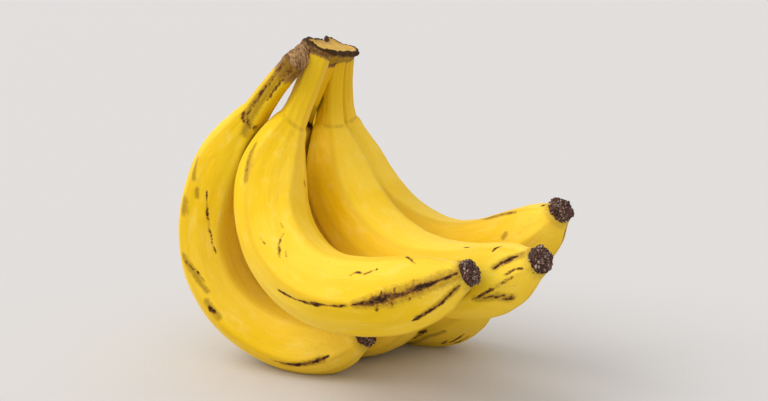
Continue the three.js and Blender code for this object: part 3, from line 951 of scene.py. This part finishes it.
def crown_growth():
    """The tree that sinks the crown's cut face, dries its rim and wrinkles its flanks."""
    tree, source = new_growth("crown", (
        ("Cut point", "NodeSocketVector", None),
        ("Cut normal", "NodeSocketVector", None),
        ("Rim height", "NodeSocketFloat", 0.8),
        ("Rim reach", "NodeSocketFloat", 1.1),
        ("Wrinkle depth", "NodeSocketFloat", 1.5),
        ("Material", "NodeSocketMaterial", None),
    ))
    given = source.outputs
    place = add(tree, "ShaderNodeVectorMath.SCALE", add(tree, "GeometryNodeInputPosition"), 1 / MM)
    normal = add(tree, "GeometryNodeInputNormal")
    above = add(tree, "ShaderNodeVectorMath.SUBTRACT", place, given["Cut point"])
    above = add(tree, "ShaderNodeVectorMath.DOT_PRODUCT", above, given["Cut normal"])
    facing = add(tree, "ShaderNodeVectorMath.DOT_PRODUCT", normal, given["Cut normal"])
    flat = add(tree, "ShaderNodeMath.MULTIPLY",
               add(tree, "ShaderNodeMath.GREATER_THAN", facing, CUT_FACING),
               add(tree, "ShaderNodeMath.GREATER_THAN", above, -CUT_MARGIN))
    # blurring the face's mark gives how far in from its edge each point is
    inside = add(tree, "GeometryNodeBlurAttribute", {"Value": flat, "Iterations": CUT_BLUR})
    below = add(tree, "ShaderNodeMath.MULTIPLY", above, -1.0)
    skin = given["Geometry"]
    for label, value in (("cut", inside), ("below", below)):
        skin = add(tree, "GeometryNodeStoreNamedAttribute",
                   {"Geometry": skin, "Name": label, "Value": value},
                   data_type="FLOAT", domain="POINT")
    cut = add(tree, "GeometryNodeInputNamedAttribute", {"Name": "cut"}, data_type="FLOAT")
    sag = relief_of(tree, place, 0.1)
    tooth = relief_of(tree, place, 0.6, detail=3, rough=0.6)
    face = add(tree, "ShaderNodeMapRange", cut, 0.55, 0.97, interpolation_type="SMOOTHSTEP")
    top = add(tree, "ShaderNodeMapRange", above, -3.0, -0.3, interpolation_type="SMOOTHSTEP")
    side = add(tree, "ShaderNodeMapRange", cut, 0.2, 0.6, 1, 0, interpolation_type="SMOOTHSTEP")
    edge = add(tree, "ShaderNodeMapRange", cut, 0.3, 0.6, 1, 0, interpolation_type="SMOOTHSTEP")
    sunk = add(tree, "ShaderNodeMath.MULTIPLY", given["Rim height"], face)
    drop = add(tree, "ShaderNodeMath.MULTIPLY", sunk, -1.0)
    drop = add(tree, "ShaderNodeMath.MULTIPLY_ADD", sag, SAG_DEPTH, drop)
    drop = add(tree, "ShaderNodeMath.MULTIPLY_ADD", tooth, TOOTH_DEPTH, drop)
    drop = add(tree, "ShaderNodeMath.MULTIPLY", drop, top)
    # the rim curls out just under the cut, and shrinks in again below
    lip = add(tree, "ShaderNodeMapRange", above, -3.6, -0.8, interpolation_type="SMOOTHSTEP")
    lip = add(tree, "ShaderNodeMath.MULTIPLY", lip, edge)
    lip = add(tree, "ShaderNodeMath.MULTIPLY", lip, given["Rim reach"])
    wrinkles = uneven(tree, place, 0.36, (1, 1, 0.4), 4, 0.6, 0.4)
    wrinkles = add(tree, "ShaderNodeMath.SUBTRACT", wrinkles, 0.5)
    wrinkles = add(tree, "ShaderNodeMath.MULTIPLY", wrinkles, given["Wrinkle depth"])
    wrinkles = add(tree, "ShaderNodeMath.MULTIPLY", wrinkles, side)
    push = add(tree, "ShaderNodeMath.ADD", lip, wrinkles)
    moved = add(tree, "ShaderNodeVectorMath.ADD",
                add(tree, "ShaderNodeVectorMath.SCALE", normal, push),
                add(tree, "ShaderNodeVectorMath.SCALE", given["Cut normal"], drop))
    skin = add(tree, "GeometryNodeSetPosition", {
        "Geometry": skin, "Offset": add(tree, "ShaderNodeVectorMath.SCALE", moved, MM),
    })
    return end_growth(tree, skin, given["Material"])


# ---- Pieces -------------------------------------------------------------------------------


def scuffs_for(i, rng):
    """Small random scuffs for the rest of a finger, so that no side is bare."""
    length = length_of(HAND[i])
    found = []
    for _ in range(SCUFFS_PER_FINGER):
        along = rng.uniform(STALK_LENGTH + 12, length - 14)
        around = rng.uniform(20, 215)
        reach = rng.uniform(1.5, 9)
        slant = rng.uniform(-14, 14)
        kind = ("scratch", "scar", "bruise")[rng.integers(3)]
        wide = rng.uniform(0.25, 0.7) * (2.6 if kind == "bruise" else 1)
        found.append((i, kind, (along, around, wide * 0.5),
                      (along + reach / 2, around + slant / 2, wide),
                      (along + reach, around + slant, wide * 0.5)))
    return found


def mark_strength(finger, along, around, points):
    """How strongly a drawn line marks each point of the peel: 1 on the line, 0 well off it."""
    spans = [point[0] for point in points]
    near = (along > min(spans) - MARK_MARGIN) & (along < max(spans) + MARK_MARGIN)
    spot, angle = along[near], around[near]
    radius = radius_at(finger, spot)
    best = np.zeros(len(spot))
    for (start, start_angle, start_wide), (end, end_angle, end_wide) in zip(points, points[1:]):
        across = np.radians((angle - start_angle + 180) % 360 - 180) * radius
        reach = math.radians((end_angle - start_angle + 180) % 360 - 180) * radius
        run = end - start
        share = ((spot - start) * run + across * reach) / (run * run + reach * reach + 1e-9)
        share = np.clip(share, 0, 1)
        away = np.hypot(spot - start - share * run, across - share * reach)
        wide = start_wide + (end_wide - start_wide) * share
        best = np.maximum(best, 1 - smoothstep(away, 0.1 * wide, 2.1 * wide + 0.7))
    strength = np.zeros(len(along))
    strength[near] = best
    return strength


def press(places, own, hand):
    """Flattens a finger where its neighbours press it.

    It returns masks of painted shade: crevice shade close to a neighbour, olive shade further out.
    """
    touching_shade = np.zeros(len(places))
    painted_between_shade = np.zeros(len(places))
    for pair in TOUCHING:
        if own not in pair:
            continue
        other = pair[0] if pair[1] == own else pair[1]
        finger = HAND[other]
        along = np.linspace(STALK_LENGTH * 0.6, length_of(finger), 150)
        line = hand.frames(other, along)[0]
        radius = radius_at(finger, along)
        low = line.min(0) - radius.max() - BETWEEN_SHADE_REACH
        high = line.max(0) + radius.max() + BETWEEN_SHADE_REACH
        near = np.flatnonzero(((places > low) & (places < high)).all(1))
        for chunk in np.array_split(near, max(1, len(near) // 8000)):
            ways = places[chunk][:, None] - line[None]
            reach = np.linalg.norm(ways, axis=2)
            gap = reach - radius
            nearest = gap.argmin(1)
            rows = np.arange(len(chunk))
            gap = gap[rows, nearest]
            way = ways[rows, nearest] / reach[rows, nearest][:, None]
            push = np.maximum(PRESSED_GAP - gap, 0) / 2 + 0.03 * (gap < PRESSED_GAP)
            places[chunk] += way * np.minimum(push, PRESSED_MOST)[:, None]
            # painted crevice shade close to a neighbour, and a broader painted olive shade further
            # out
            touching_shade[chunk] = np.maximum(touching_shade[chunk], 1 - smoothstep(gap, 0.1, TOUCHING_SHADE_REACH))
            between_shade_here = 1 - smoothstep(gap, 0, BETWEEN_SHADE_REACH)
            painted_between_shade[chunk] = np.maximum(painted_between_shade[chunk], between_shade_here)
    return touching_shade, painted_between_shade


def ease_into_box(places):
    """Draws in the widest places a little, so that no ridge stands out of the CAD part's box."""
    for axis in (0, 1):
        for side in (-1, 1):
            wall = max(side * corner[axis] for corner in CAD_BOUNDS) / MM
            over = np.maximum(side * places[:, axis] - (wall - EASED_DEPTH), 0)
            places[:, axis] -= side * over ** 2 * EASED_RATE


def make_finger(i, hand, tree, material, settings, rng):
    """One banana, from inside the crown to inside its dried blossom end."""
    finger = HAND[i]
    length = length_of(finger) - BLOSSOM_LENGTH * 0.25
    stations = settings.stations
    along = np.linspace(0, length, stations - 2)
    along = np.concatenate([[along[0]], along, [along[-1]]])
    at, _, inner, side = hand.frames(i, along)
    radius = radius_at(finger, along)
    radius[0] = radius[-1] = 0
    full = smoothstep(along, STALK_LENGTH * 0.6, STALK_LENGTH + FINGER_WIDTH)
    closing = 1 - 0.75 * smoothstep(along, length - 12, length)
    seed = line_mesh("seed", at, {
        "place": at, "inner": inner, "side": side, "radius": radius, "along": along,
        "fullness": full * closing + STALK_RIDGES * (1 - full),
        "grooved": 0.35 + 0.65 * (1 - full) + 0.3 * smoothstep(along, length - 25, length),
    })
    mesh = grown(f"peel_{i + 1}", seed, tree, {
        "Stations": stations,
        "Sides": settings.sides,
        "Ridge height": settings.ridge_height,
        "Ridge turn": math.radians(finger["ridges"]),
        "Dent depth": settings.dent_depth,
        "Groove depth": settings.groove_depth,
        "Seed": 40.0 * i,
        "Material": material,
    })
    straight = read_vectors(mesh, "straight")
    places = read_vectors(mesh) / MM
    run_on = straight[:, 2]
    around = np.degrees(np.arctan2(straight[:, 1], straight[:, 0])) % 360
    # the stalk opens into the neck at a slanting fold, with a low shoulder under it; the fold also
    # gets painted shade in the peel's colour
    beyond = run_on - STALK_LENGTH + FOLD_ABOVE_NECK
    beyond -= FOLD_SLANT * np.cos(np.radians(around + 10))
    reach = np.cos(np.radians(around - 300 - 23 * i)) + 0.4 * np.cos(np.radians(7 * around))
    fold_and_shade = np.exp(-(beyond / FOLD_WIDTH) ** 2) * smoothstep(reach, -0.3, 1.1)
    shoulder = smoothstep(beyond, 0, 3.5) - smoothstep(beyond, 3.5, 20)
    places += normals_of(mesh) * (SHOULDER * shoulder - FOLD_DEPTH * fold_and_shade)[:, None]
    touching_shade, painted_between_shade = press(places, i, hand)
    places[:, 2] = np.maximum(places[:, 2], 0)
    ease_into_box(places)
    painted = {
        "scar": np.zeros(len(places)),
        "bruise": np.zeros(len(places)),
        # painted shade from the neighbouring fingers: in crevices, and more broadly near them
        "painted_crevice_shade": touching_shade,
        "painted_between_shade": painted_between_shade,
        # painted shade along the neck fold
        "fold_and_shade": fold_and_shade,
        "stalk": 1 - smoothstep(run_on, 4, STALK_LENGTH + 26),
        "dried": 1 - smoothstep(run_on, 1, 15 if i == 0 else 4.5),
        "nose": smoothstep(run_on, length - 9, length + 1),
    }
    marks = [mark for mark in MARKS if mark[0] == i] + scuffs_for(i, rng)
    for _, kind, *points in marks:
        strength = mark_strength(finger, run_on, around, points) * DEPTHS[kind]
        layer = "bruise" if kind == "bruise" else "scar"
        painted[layer] = np.maximum(painted[layer], strength)
    write_places(mesh, places * MM)
    places -= normals_of(mesh) * (painted["scar"] * SCAR_SINK)[:, None]
    write_places(mesh, places * MM)
    for label, values in painted.items():
        write_attribute(mesh, label, values)
    face_outwards(mesh)
    show(f"peel_{i + 1}", mesh, f"banana_{i + 1}")


def make_blossom_end(i, hand, tree, material, settings):
    """The withered flower remains on one finger's end."""
    finger = HAND[i]
    start = length_of(finger) - BLOSSOM_LENGTH * BLOSSOM_BURIED
    wide = BLOSSOM_WIDTH / 2
    tall = BLOSSOM_LENGTH * BLOSSOM_HEIGHT
    # share of the height and of the radius: a collar, a slight waist and a domed face
    outline = catmull_rom((
        (0.0, 0.0), (0.0, 0.55), (0.03, 0.93), (0.22, 1.0), (0.45, 0.97), (0.66, 0.98),
        (0.83, 0.88), (0.94, 0.7), (0.99, 0.46), (0.99, 0.22), (0.98, 0.0),
    ), 24)
    steps = np.linspace(0, len(outline) - 1, settings.blossom_stations)
    height = np.interp(steps, np.arange(len(outline)), outline[:, 0])
    share = np.interp(steps, np.arange(len(outline)), outline[:, 1])
    share = np.maximum(share, 0)
    share[0] = share[-1] = 0
    at, run, inner, side = hand.frames(i, start + height * tall)
    endwise = smoothstep(steps / steps[-1], 0.55, 0.75) * 3
    loose = smoothstep(steps / steps[-1], 0.08, 0.25) * smoothstep(share, 0, 0.12)
    seed = line_mesh("seed", at, {
        "place": at, "run": run, "inner": inner, "side": side, "radius": share * wide,
        "loose": loose, "endwise": endwise,
    })
    mesh = grown(f"dried_flower_{i + 1}", seed, tree, {
        "Stations": settings.blossom_stations,
        "Sides": settings.blossom_sides,
        "Lobe depth": settings.lobe_depth,
        "Roughness": settings.crumble,
        "Crumb spacing": settings.crumb_spacing,
        "Crumb size": settings.crumb_size,
        "Seed": i + 3,
        "Material": material,
    })
    face_outwards(mesh)
    show(f"dried_flower_{i + 1}", mesh, f"blossom_end_{i + 1}")


def tube(places, radii, sides):
    """A closed lofted tube round places, as vertices and faces."""
    run = unit(np.gradient(places, axis=0))
    first = unit(np.cross(run, [0.3, 1, 0.1]))
    second = np.cross(run, first)
    turn = np.linspace(0, math.tau, sides, endpoint=False)[None, :, None]
    ring = first[:, None] * np.cos(turn) + second[:, None] * np.sin(turn)
    rings = places[:, None] + ring * radii[:, None, None]
    vertices = [places[0], *rings.reshape(-1, 3), places[-1]]
    end = len(vertices) - 1
    faces = []
    for k in range(sides):
        after = (k + 1) % sides
        faces.append((0, 1 + after, 1 + k))
        for row in range(len(places) - 1):
            low = 1 + row * sides
            faces.append((low + k, low + after, low + sides + after, low + sides + k))
        last = 1 + (len(places) - 1) * sides
        faces.append((end, last + k, last + after))
    return vertices, faces


def crown_arm(i, roots, run, middle, upward, cut_point, collar):
    """One arm from a stalk to past the cut: its middle line and its radius along it."""
    root = roots[i]
    if i == 0:
        # the outermost stalk only joins the side of the next one, under the cut
        arm = SIDE_ARM
        target = roots[1] + upward * 1.5 + SIDE_ARM["end"]
    else:
        arm = CROWN_ARM
        drawn = root + (middle - root) * CROWN_DRAW * 0.5
        target = drawn + upward * (np.dot(cut_point - drawn, upward) + PAST_CUT)
    foot = root + run * collar * arm["grip"]
    bowed = root + (root - foot) * 0.5
    steps = np.linspace(0, 1, 30)
    line = (foot[None] * ((1 - steps) ** 2)[:, None]
            + bowed[None] * (2 * steps * (1 - steps))[:, None]
            + target[None] * (steps ** 2)[:, None])
    return line, np.interp(steps, arm["share"], arm["radius"])


def cut_off(mesh, point, normal):
    """Cuts away what lies above a plane and closes the cut with a flat face."""
    knife = bmesh.new()
    knife.from_mesh(mesh)
    sliced = bmesh.ops.bisect_plane(
        knife, geom=knife.verts[:] + knife.edges[:] + knife.faces[:],
        plane_co=point, plane_no=normal, clear_outer=True,
    )
    edges = [part for part in sliced["geom_cut"] if isinstance(part, bmesh.types.BMEdge)]
    bmesh.ops.holes_fill(knife, edges=edges, sides=0)
    knife.to_mesh(mesh)
    knife.free()


def make_crown(hand, tree, material, settings):
    """The crown: one arm from each stalk, grown together and cut off flat."""
    frames = [hand.frames(i, np.array([0.0, 1.0])) for i in range(len(HAND))]
    roots = np.array([at[0] for at, _, _, _ in frames])
    runs = [run[0] for _, run, _, _ in frames]
    middle = roots.mean(0)
    row = unit((roots[5] - roots[0]) * [1, 1, 0])
    tilt = Matrix.Rotation(settings.tilt, 3, Vector(row))
    roll = Matrix.Rotation(settings.roll, 3, Vector(row).cross(Vector((0, 0, -1))))
    upward = np.array(roll @ tilt @ Vector((0, 0, 1)))
    cut_point = middle + upward * settings.height
    lines = [
        crown_arm(i, roots, run, middle, upward, cut_point, settings.collar)
        for i, run in enumerate(runs)
    ]
    for i, j in CROWN_BRIDGES:
        ends = [lines[k][0][-9] - upward * 1.5 for k in (i, j)]
        lines.append((np.linspace(*ends, 12), np.full(12, CROWN_BRIDGE_RADIUS)))
    vertices, faces = [], []
    for line, radius in lines:
        more, rings = tube(line, radius, CROWN_ARM_SIDES)
        faces += [tuple(k + len(vertices) for k in face) for face in rings]
        vertices += more
    seed = bpy.data.meshes.new("seed")
    seed.from_pydata([tuple(np.array(v) * MM) for v in vertices], [], faces)
    cut_off(seed, cut_point * MM, upward)
    mesh = grown("cut_crown", seed, tree, {
        "Cut point": tuple(cut_point),
        "Cut normal": tuple(upward),
        "Rim height": settings.rim_height,
        "Rim reach": settings.rim_reach,
        "Wrinkle depth": settings.wrinkle_depth,
        "Material": material,
    }, remesh=settings.crown_voxel)
    places = read_vectors(mesh) / MM
    away = (places - roots[0]) @ row
    write_attribute(mesh, "withered", 1 - smoothstep(away, 4, 13))
    face_outwards(mesh)
    show("cut_crown", mesh, "crown")


def make_floor(settings):
    """A wide round ground, its middle under the bunch and its rings closer there."""
    turn = np.linspace(0, math.tau, GROUND_SIDES, endpoint=False)
    vertices = [(0, 0, 0)]
    radii = settings.floor_radius * np.linspace(0, 1, GROUND_RINGS)[1:] ** 2
    for radius in radii:
        vertices += [(radius * math.cos(t), radius * math.sin(t), 0) for t in turn]
    faces = [(0, 1 + k, 1 + (k + 1) % GROUND_SIDES) for k in range(GROUND_SIDES)]
    for ring in range(len(radii) - 1):
        low = 1 + ring * GROUND_SIDES
        high = low + GROUND_SIDES
        for k in range(GROUND_SIDES):
            after = (k + 1) % GROUND_SIDES
            faces.append((low + k, high + k, high + after, low + after))
    mesh = bpy.data.meshes.new("ground")
    mesh.from_pydata(vertices, [], faces)
    mesh.materials.append(floor_material(settings))
    floor = bpy.data.objects.new("ground", mesh)
    bpy.context.scene.collection.objects.link(floor)


def add_light(name, place, spread, strength, tint):
    """A distant soft light that shines from place, as wide as spread in degrees."""
    light = bpy.data.lights.new(name, "SUN")
    light.angle = math.radians(spread)
    light.energy = strength
    light.color = colour(tint)[:3]
    lamp = bpy.data.objects.new(name, light)
    lamp.location = place
    lamp.rotation_euler = Vector(place).to_track_quat("Z", "Y").to_euler()
    bpy.context.scene.collection.objects.link(lamp)


# ---- The add-on ---------------------------------------------------------------------------


class FingerSettings(bpy.types.PropertyGroup):
    """Sizes and colours of the bananas."""

    stations: IntProperty(
        name="Stations", description="Rings of faces along a finger", default=300, min=50)
    sides: IntProperty(
        name="Sides", description="Faces around a finger", default=260, min=24)
    ridge_height: FloatProperty(
        name="Ridge height", description="Of the five ridges, as a share of the radius",
        default=0.1, subtype="FACTOR")
    dent_depth: FloatProperty(
        name="Dent depth", description="Of the broad unevenness, in millimetres", default=0.55)
    groove_depth: FloatProperty(
        name="Groove depth", description="Of the fine grooves along a stalk, in millimetres",
        default=0.35)
    gold: FloatVectorProperty(
        name="Gold", description="Deeper yellow of the peel",
        default=colour("#F3C70E")[:3], subtype="COLOR")
    lemon: FloatVectorProperty(
        name="Lemon", description="Lighter yellow of the peel",
        default=colour("#FBD23A")[:3], subtype="COLOR")
    stalk: FloatVectorProperty(
        name="Stalk", description="Colour the stalks drift to",
        default=colour("#E0B800")[:3], subtype="COLOR")
    bruise: FloatVectorProperty(
        name="Bruise", description="Colour of a soft bruise",
        default=colour("#94700F")[:3], subtype="COLOR")
    scar: FloatVectorProperty(
        name="Scar", description="Colour of a dried scar",
        default=colour("#2E1B0C")[:3], subtype="COLOR")


class BlossomSettings(bpy.types.PropertyGroup):
    """Sizes and colours of the dried blossom ends."""

    blossom_stations: IntProperty(
        name="Stations", description="Rings of faces over a knob", default=90, min=20)
    blossom_sides: IntProperty(
        name="Sides", description="Faces around a knob", default=120, min=24)
    lobe_depth: FloatProperty(
        name="Lobe depth", description="Of the five lobes, as a share of the radius",
        default=0.05, subtype="FACTOR")
    crumble: FloatProperty(
        name="Crumble", description="Depth of the rough relief, in millimetres", default=0.9)
    crumb_spacing: FloatProperty(
        name="Crumb spacing", description="Least distance between two crumbs",
        default=0.0015, unit="LENGTH")
    crumb_size: FloatProperty(
        name="Crumb size", description="Half the size of a crumb",
        default=0.00042, unit="LENGTH")
    flake: FloatVectorProperty(
        name="Flakes", description="Colour of the paler flakes",
        default=colour("#D8B8A2")[:3], subtype="COLOR")


class CrownSettings(bpy.types.PropertyGroup):
    """Sizes and colours of the cut crown."""

    height: FloatProperty(
        name="Height", description="Of the cut above the stalks' upper ends, in mm", default=5.4)
    tilt: FloatProperty(
        name="Tilt", description="Of the cut, towards the finger ends",
        default=math.radians(20), subtype="ANGLE")
    roll: FloatProperty(
        name="Roll", description="Of the cut, down towards the far end of the row",
        default=math.radians(7), subtype="ANGLE")
    collar: FloatProperty(
        name="Collar", description="How far it grips down each stalk, in mm", default=2.2)
    crown_voxel: FloatProperty(
        name="Skin cell", description="Size of the cells its arms are merged with",
        default=0.0005, unit="LENGTH")
    rim_height: FloatProperty(
        name="Rim height", description="Of the dried rim above the cut face, in mm", default=1.0)
    rim_reach: FloatProperty(
        name="Rim reach", description="How far the rim curls outwards, in mm", default=1.3)
    wrinkle_depth: FloatProperty(
        name="Wrinkle depth", description="Of the dried wrinkles, in mm", default=2.4)
    cut: FloatVectorProperty(
        name="Cut face", description="Colour of the cut face",
        default=colour("#DDB44E")[:3], subtype="COLOR")
    rim: FloatVectorProperty(
        name="Rim", description="Colour of the dried rim",
        default=colour("#432906")[:3], subtype="COLOR")


class StageSettings(bpy.types.PropertyGroup):
    """The camera, lights and ground."""

    distance: FloatProperty(
        name="Camera distance", description="From the point it looks at",
        default=0.7, unit="LENGTH")
    elevation: FloatProperty(
        name="Camera elevation", description="Above level",
        default=math.radians(11.15), subtype="ANGLE")
    aim: FloatVectorProperty(
        name="Aim", description="The point the camera looks at, from the middle of the base",
        default=(0.0071, 0.0094, 0.0862), subtype="TRANSLATION")
    lens: FloatProperty(
        name="Lens", description="Focal length", default=64.7, unit="CAMERA")
    floor_radius: FloatProperty(
        name="Ground radius", description="Of the round ground", default=14, unit="LENGTH")
    ground: FloatVectorProperty(
        name="Ground", description="Colour of the ground",
        default=colour("#CFCDCC")[:3], subtype="COLOR")
    sky_strength: FloatProperty(
        name="Sky strength", description="Of the even light from all round", default=0.85)
    key_strength: FloatProperty(
        name="Key strength", description="Of the window light from the upper left", default=1.5)
    fill_strength: FloatProperty(
        name="Fill strength", description="Of the soft light from the front", default=0.38)


class FingersOperator(bpy.types.Operator):
    """Grow the six bananas"""

    bl_idname = "bananas.grow_fingers"
    bl_label = "Grow the bananas"

    def execute(self, context):
        settings = context.scene.banana_fingers
        hand = Hand()
        tree = finger_growth()
        material = peel_material(settings)
        rng = np.random.default_rng(SCUFF_SEED)
        for i in range(len(HAND)):
            make_finger(i, hand, tree, material, settings, rng)
        return {"FINISHED"}


class BlossomOperator(bpy.types.Operator):
    """Grow the dried blossom ends"""

    bl_idname = "bananas.grow_blossom_ends"
    bl_label = "Grow the blossom ends"

    def execute(self, context):
        settings = context.scene.banana_blossom_ends
        hand = Hand()
        tree = blossom_growth()
        material = dried_flower_material(settings)
        for i in range(len(HAND)):
            make_blossom_end(i, hand, tree, material, settings)
        return {"FINISHED"}


class CrownOperator(bpy.types.Operator):
    """Grow and cut the crown"""

    bl_idname = "bananas.grow_crown"
    bl_label = "Grow the crown"

    def execute(self, context):
        settings = context.scene.banana_crown
        make_crown(Hand(), crown_growth(), crown_material(settings), settings)
        return {"FINISHED"}


class StageOperator(bpy.types.Operator):
    """Set up the ground, the lights and the camera"""

    bl_idname = "bananas.set_stage"
    bl_label = "Set the stage"

    def execute(self, context):
        scene = context.scene
        settings = scene.banana_stage
        make_floor(settings)
        aim = Vector(settings.aim)
        add_light("window", WINDOW_PLACE, 50, settings.key_strength, "#FFFBF6")
        add_light("front_fill", FILL_PLACE, 70, settings.fill_strength, "#FFFFFF")
        world = bpy.data.worlds.new("pale studio")
        world.use_nodes = True
        background = world.node_tree.nodes["Background"]
        background.inputs["Color"].default_value = colour("#F3F3F4")
        background.inputs["Strength"].default_value = settings.sky_strength
        scene.world = world
        scene.view_settings.view_transform = "Standard"
        lens = bpy.data.cameras.new("camera")
        lens.lens = settings.lens
        lens.sensor_width = 36
        lens.clip_start = 0.01
        lens.clip_end = 100
        camera = bpy.data.objects.new("camera", lens)
        back = Vector((0, -math.cos(settings.elevation), math.sin(settings.elevation)))
        camera.location = aim + back * settings.distance
        camera.rotation_euler = (math.pi / 2 - settings.elevation, 0, 0)
        scene.collection.objects.link(camera)
        scene.camera = camera
        return {"FINISHED"}


class BananaPanel(bpy.types.Panel):
    """Lists the steps and their sizes in the sidebar."""

    bl_idname = "VIEW3D_PT_bananas"
    bl_label = "Hand of bananas"
    bl_space_type = "VIEW_3D"
    bl_region_type = "UI"
    bl_category = "Bananas"

    def draw(self, context):
        for label, operator in STEPS:
            box = self.layout.box()
            box.operator(operator.bl_idname)
            group = getattr(context.scene, label)
            for name in group.bl_rna.properties.keys():
                if name not in ("rna_type", "name"):
                    box.prop(group, name)


STEPS = (
    ("banana_fingers", FingersOperator),
    ("banana_blossom_ends", BlossomOperator),
    ("banana_crown", CrownOperator),
    ("banana_stage", StageOperator),
)
GROUPS = (FingerSettings, BlossomSettings, CrownSettings, StageSettings)


def register():
    for group in GROUPS:
        bpy.utils.register_class(group)
    for (label, operator), group in zip(STEPS, GROUPS):
        bpy.utils.register_class(operator)
        setattr(bpy.types.Scene, label, PointerProperty(type=group))
    bpy.utils.register_class(BananaPanel)


def unregister():
    bpy.utils.unregister_class(BananaPanel)
    for (label, operator), group in zip(STEPS, GROUPS):
        delattr(bpy.types.Scene, label)
        bpy.utils.unregister_class(operator)
        bpy.utils.unregister_class(group)


def main():
    register()
    bpy.ops.bananas.set_stage()
    bpy.ops.bananas.grow_crown()
    bpy.ops.bananas.grow_fingers()
    bpy.ops.bananas.grow_blossom_ends()


if __name__ == "__main__":
    main()
